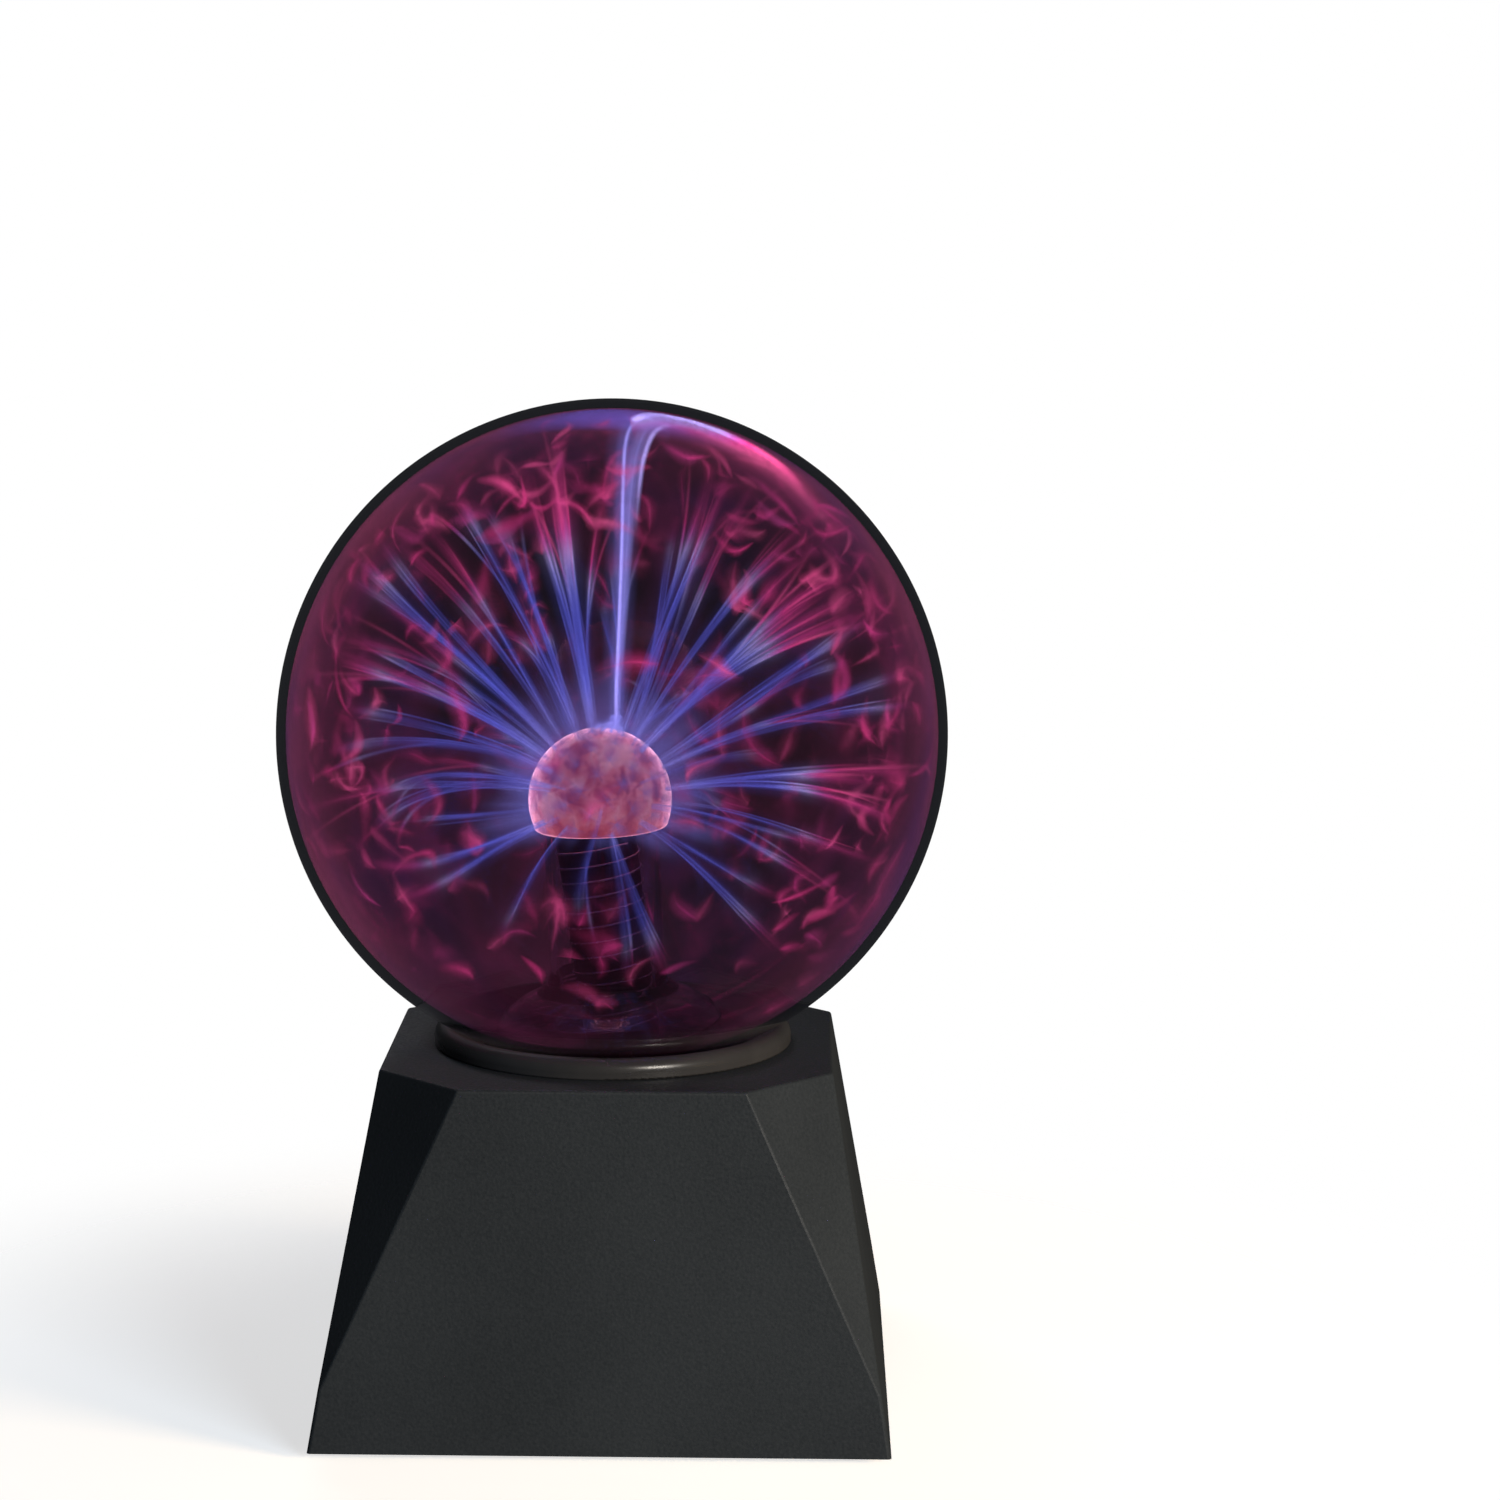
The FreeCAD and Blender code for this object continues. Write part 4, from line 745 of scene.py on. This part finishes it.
# ------------------------------------------------------------------ glass
NECK_R, NECK_Z, RIM_R = 0.021, 0.060, 0.0235
prof = []
blend_r = 0.004
join_out = math.asin(NECK_R / GLOBE_R)
for i in range(0, 121):
    a = math.pi - join_out * 1.18
    a = a * i / 120
    prof.append((GLOBE_R * math.sin(a), GLOBE_R * math.cos(a)))
z_end = prof[-1][1]
prof.append((NECK_R + 0.0012, z_end - 0.0012))
prof.append((NECK_R + 0.0003, z_end - 0.0030))
prof.append((NECK_R, z_end - 0.0055))
base_h = NECK_Z - G[2]
prof += [(NECK_R, base_h + 0.0030), (RIM_R, base_h + 0.0022), (RIM_R, base_h), (NECK_R - WALL, base_h),
         (NECK_R - WALL, z_end - 0.0050), (NECK_R - WALL + 0.0004, z_end - 0.0026)]
inner = []
for i in range(0, 121):
    a = math.pi - math.asin((NECK_R - WALL) / INNER_R) * 1.14
    a = a * i / 120
    inner.append((INNER_R * math.sin(a), INNER_R * math.cos(a)))
prof += inner[::-1]
globe = lathe("globe_glass", prof, 224, G, np.array([0, 0, 1.0]), closed=False)
globe.data.materials.append(glass_material("globe_smoke_glass", (0.50, 0.49, 0.55), wave=0.012, scale=16.0))
globe.visible_shadow = False
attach(globe, "base")
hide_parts("glass_globe")

# ------------------------------------------------------------------ finishes of the CAD nodes
stem_glass = glass_material("tube_clear_glass", (0.93, 0.93, 0.96), wave=0.05, scale=34.0)
plastic = housing_material()
cover = solid("cover_plastic_black", (0.012, 0.012, 0.0125), (0.020, 0.020, 0.021), 70, (0.5, 0.6), bump=0.25, bump_scale=900)
rubber = solid("rubber_black", (0.010, 0.010, 0.010), (0.019, 0.019, 0.018), 160, (0.62, 0.8), bump=0.35, bump_scale=1200)
steel = solid("zinc_plated_steel", (0.42, 0.42, 0.40), (0.62, 0.62, 0.58), 420, (0.26, 0.42), 1.0, bump=0.12, bump_scale=1500)
FINISH = {
    "housing_plastic": plastic,
    "collar_plastic": collar_material(),
    "cover_plastic": cover,
    "black_rubber": rubber,
    "stem_glass": stem_glass,
    "globe_glass": stem_glass,
    "electrode": rubber,
    "black_sleeve": solid("sleeve_black", (0.003, 0.003, 0.0035), (0.008, 0.007, 0.009), 120, (0.45, 0.62), bump=0.2, bump_scale=700),
    "bright_wire": solid("contact_wire_bright", (0.62, 0.60, 0.60), (0.85, 0.83, 0.82), 600, (0.16, 0.28), 1.0),
    "zinc_steel": steel,
    "circuit_board": solid("board_green", (0.008, 0.065, 0.026), (0.014, 0.095, 0.04), 240, (0.28, 0.4), bump=0.1, coat=0.4),
    "ferrite": solid("ferrite_grey", (0.035, 0.035, 0.038), (0.075, 0.075, 0.08), 500, (0.5, 0.7), bump=0.3),
    "nylon": solid("nylon_natural", (0.60, 0.57, 0.49), (0.74, 0.71, 0.63), 90, (0.4, 0.55)),
    "potting": solid("potting_resin", (0.010, 0.010, 0.014), (0.022, 0.022, 0.030), 80, (0.12, 0.3), coat=0.5),
    "copper_wire": solid("copper_enamelled", (0.50, 0.16, 0.05), (0.72, 0.28, 0.10), 700, (0.2, 0.32), 1.0, stretch=(0.2, 1, 1)),
    "aluminium": solid("aluminium_extruded", (0.55, 0.56, 0.58), (0.76, 0.77, 0.79), 300, (0.3, 0.45), 1.0, stretch=(1, 1, 0.1)),
    "epoxy_black": solid("epoxy_moulded", (0.014, 0.014, 0.014), (0.028, 0.028, 0.028), 600, (0.4, 0.55), bump=0.15),
    "capacitor_sleeve": solid("capacitor_shrink_sleeve", (0.010, 0.016, 0.06), (0.02, 0.03, 0.10), 150, (0.2, 0.32), coat=0.3),
    "film_yellow": solid("film_capacitor_dip", (0.55, 0.33, 0.03), (0.68, 0.45, 0.06), 180, (0.25, 0.35), coat=0.4),
    "resistor_body": solid("resistor_dip", (0.48, 0.36, 0.18), (0.62, 0.50, 0.28), 400, (0.4, 0.5)),
    "jack_plastic": solid("jack_plastic_black", (0.010, 0.010, 0.0105), (0.019, 0.019, 0.020), 300, (0.30, 0.44), bump=0.2, bump_scale=1300),
    "nickel": solid("nickel_plate", (0.60, 0.57, 0.50), (0.78, 0.75, 0.68), 500, (0.12, 0.25), 1.0),
    "wire_red": solid("wire_insulation_red", (0.40, 0.012, 0.010), (0.55, 0.03, 0.02), 200, (0.3, 0.4)),
    "lead_silicone": solid("silicone_lead", (0.42, 0.03, 0.02), (0.55, 0.06, 0.04), 160, (0.45, 0.6)),
}
for name, obj in NODES.items():
    for i, slot_ in enumerate(obj.material_slots):
        key = slot_.material.name.split(".")[0] if slot_.material else ""
        if key in FINISH:
            obj.data.materials[i] = FINISH[key]

# ------------------------------------------------------------------ floor, light, camera
seg = 96
verts, faces = [(0.0, 0.0, 0.0)], []
RINGS = [0.08, 0.16, 0.25, 0.35, 0.5, 0.7, 0.95, 1.25]
for r in RINGS:
    verts += [(r * math.cos(2 * math.pi * k / seg), r * math.sin(2 * math.pi * k / seg), 0.0) for k in range(seg)]
for k in range(seg):
    faces.append((0, 1 + k, 1 + (k + 1) % seg))
for j in range(len(RINGS) - 1):
    for k in range(seg):
        a, b_ = 1 + j * seg + k, 1 + j * seg + (k + 1) % seg
        faces.append((a, a + seg, b_ + seg, b_))
floor = new_object("studio_floor", verts, faces)
m = Mat("pale_floor")
p = m.place()
sep = m.node("SeparateXYZ", Vector=p)
rad = m.math("SQRT", m.math("ADD", m.math("POWER", sep.outputs[0], 2.0), m.math("POWER", sep.outputs[1], 2.0)))
alpha = m.range(rad, 0.09, 0.24, 1.0, 0.0, smooth=True)
df = m.node("BsdfDiffuse", Color=m.ramp(m.noise(p, 8.0, 2.0), [(0.3, (0.86, 0.86, 0.86)), (0.7, (0.89, 0.89, 0.89))]))
em = m.node("Emission", Color=(1, 1, 1, 1), Strength=0.60)
add = m.node("AddShader")
m.t.links.new(df.outputs[0], add.inputs[0])
m.t.links.new(em.outputs[0], add.inputs[1])
tr = m.node("BsdfTransparent")
direct = m.math("MULTIPLY", alpha, m.node("LightPath").outputs["Is Camera Ray"])
mx = m.node("MixShader", i0=direct)
m.t.links.new(tr.outputs[0], mx.inputs[1])
m.t.links.new(add.outputs[0], mx.inputs[2])
m.m.cycles.emission_sampling = "NONE"
floor.data.materials.append(m.finish(mx.outputs[0]))

scene = bpy.context.scene
world = bpy.data.worlds.new("studio")
scene.world = world
world.use_nodes = True
wt = world.node_tree
wt.nodes.clear()
wo = wt.nodes.new("ShaderNodeOutputWorld")
lp = wt.nodes.new("ShaderNodeLightPath")
seen = wt.nodes.new("ShaderNodeBackground")
seen.inputs[0].default_value = (1, 1, 1, 1)
seen.inputs[1].default_value = 1.0
room = wt.nodes.new("ShaderNodeBackground")
room.inputs[0].default_value = (0.85, 0.90, 1.0, 1)
room.inputs[1].default_value = 0.024
ws = wt.nodes.new("ShaderNodeMixShader")
wt.links.new(lp.outputs["Is Camera Ray"], ws.inputs[0])
wt.links.new(room.outputs[0], ws.inputs[1])
wt.links.new(seen.outputs[0], ws.inputs[2])
wt.links.new(ws.outputs[0], wo.inputs[0])


def area(name, at, aim, size, watts, color, gloss):
    d = bpy.data.lights.new(name, "AREA")
    d.shape = "RECTANGLE"
    d.size, d.size_y = size
    d.energy = watts
    d.color = color
    o = bpy.data.objects.new(name, d)
    scene.collection.objects.link(o)
    o.location = at
    o.rotation_euler = (Vector(aim) - Vector(at)).to_track_quat("-Z", "Y").to_euler()
    o.visible_glossy = gloss
    o.visible_transmission = False
    o.visible_camera = False
    return o


# one small lamp gives the plastic its soft shine; it lights only the base and its ring
shine_group = bpy.data.collections.new("shine_group")
for name in ("base_housing", "globe_collar", "bottom_cover", "switch_slider", "switch_frame", "dc_jack", "dc_jack_pin", "switch_screws"):
    shine_group.objects.link(NODES[name])


area("key_front", (0.78, -1.15, 0.40), (0, 0, 0.08), (0.6, 0.5), 15.0, (0.72, 0.88, 1.0), False)
area("warm_right", (1.18, -0.62, 0.26), (0, 0, 0.08), (0.4, 0.4), 29.0, (1.0, 0.70, 0.38), False)
edge = area("warm_edge", (0.55, -0.85, 0.62), (0, 0, 0.08), (0.26, 0.26), 7.0, (1.0, 0.92, 0.82), True)
edge.light_linking.receiver_collection = shine_group
rim_lamp = area("cool_rim", (-0.35, 1.1, 0.85), (0, 0, 0.08), (0.40, 0.40), 1.0, (0.95, 0.95, 1.0), True)
rim_lamp.light_linking.receiver_collection = shine_group
area("back_fill", (-0.45, 1.35, 0.13), (0, 0, 0.07), (0.9, 0.22), 20.0, (0.92, 0.95, 1.0), False)

cam_data = bpy.data.cameras.new("camera")
cam = bpy.data.objects.new("camera", cam_data)
scene.collection.objects.link(cam)
cam_data.sensor_width = 36.0
cam_data.lens = 91.726
cam_data.clip_start = 0.01
yaw, pitch, roll = 0.0117, 0.1506, 0.0058
right = np.array([math.cos(yaw), math.sin(yaw), 0])
ahead = np.array([-math.sin(yaw), math.cos(yaw), 0])
up = np.array([0, 0, 1.0])
f2 = math.cos(pitch) * ahead - math.sin(pitch) * up
u2 = math.cos(pitch) * up + math.sin(pitch) * ahead
r3 = math.cos(roll) * right + math.sin(roll) * u2
u3 = -math.sin(roll) * right + math.cos(roll) * u2
mw = Matrix.Identity(4)
for row in range(3):
    mw[row][0], mw[row][1], mw[row][2] = r3[row], u3[row], -f2[row]
mw[0][3], mw[1][3], mw[2][3] = 0.0412953, -0.8604938, 0.2779138
cam.matrix_world = mw
scene.camera = cam

scene.view_settings.view_transform = "Standard"
scene.cycles.transparent_max_bounces = 160
scene.cycles.max_bounces = 14
scene.cycles.transmission_bounces = 14
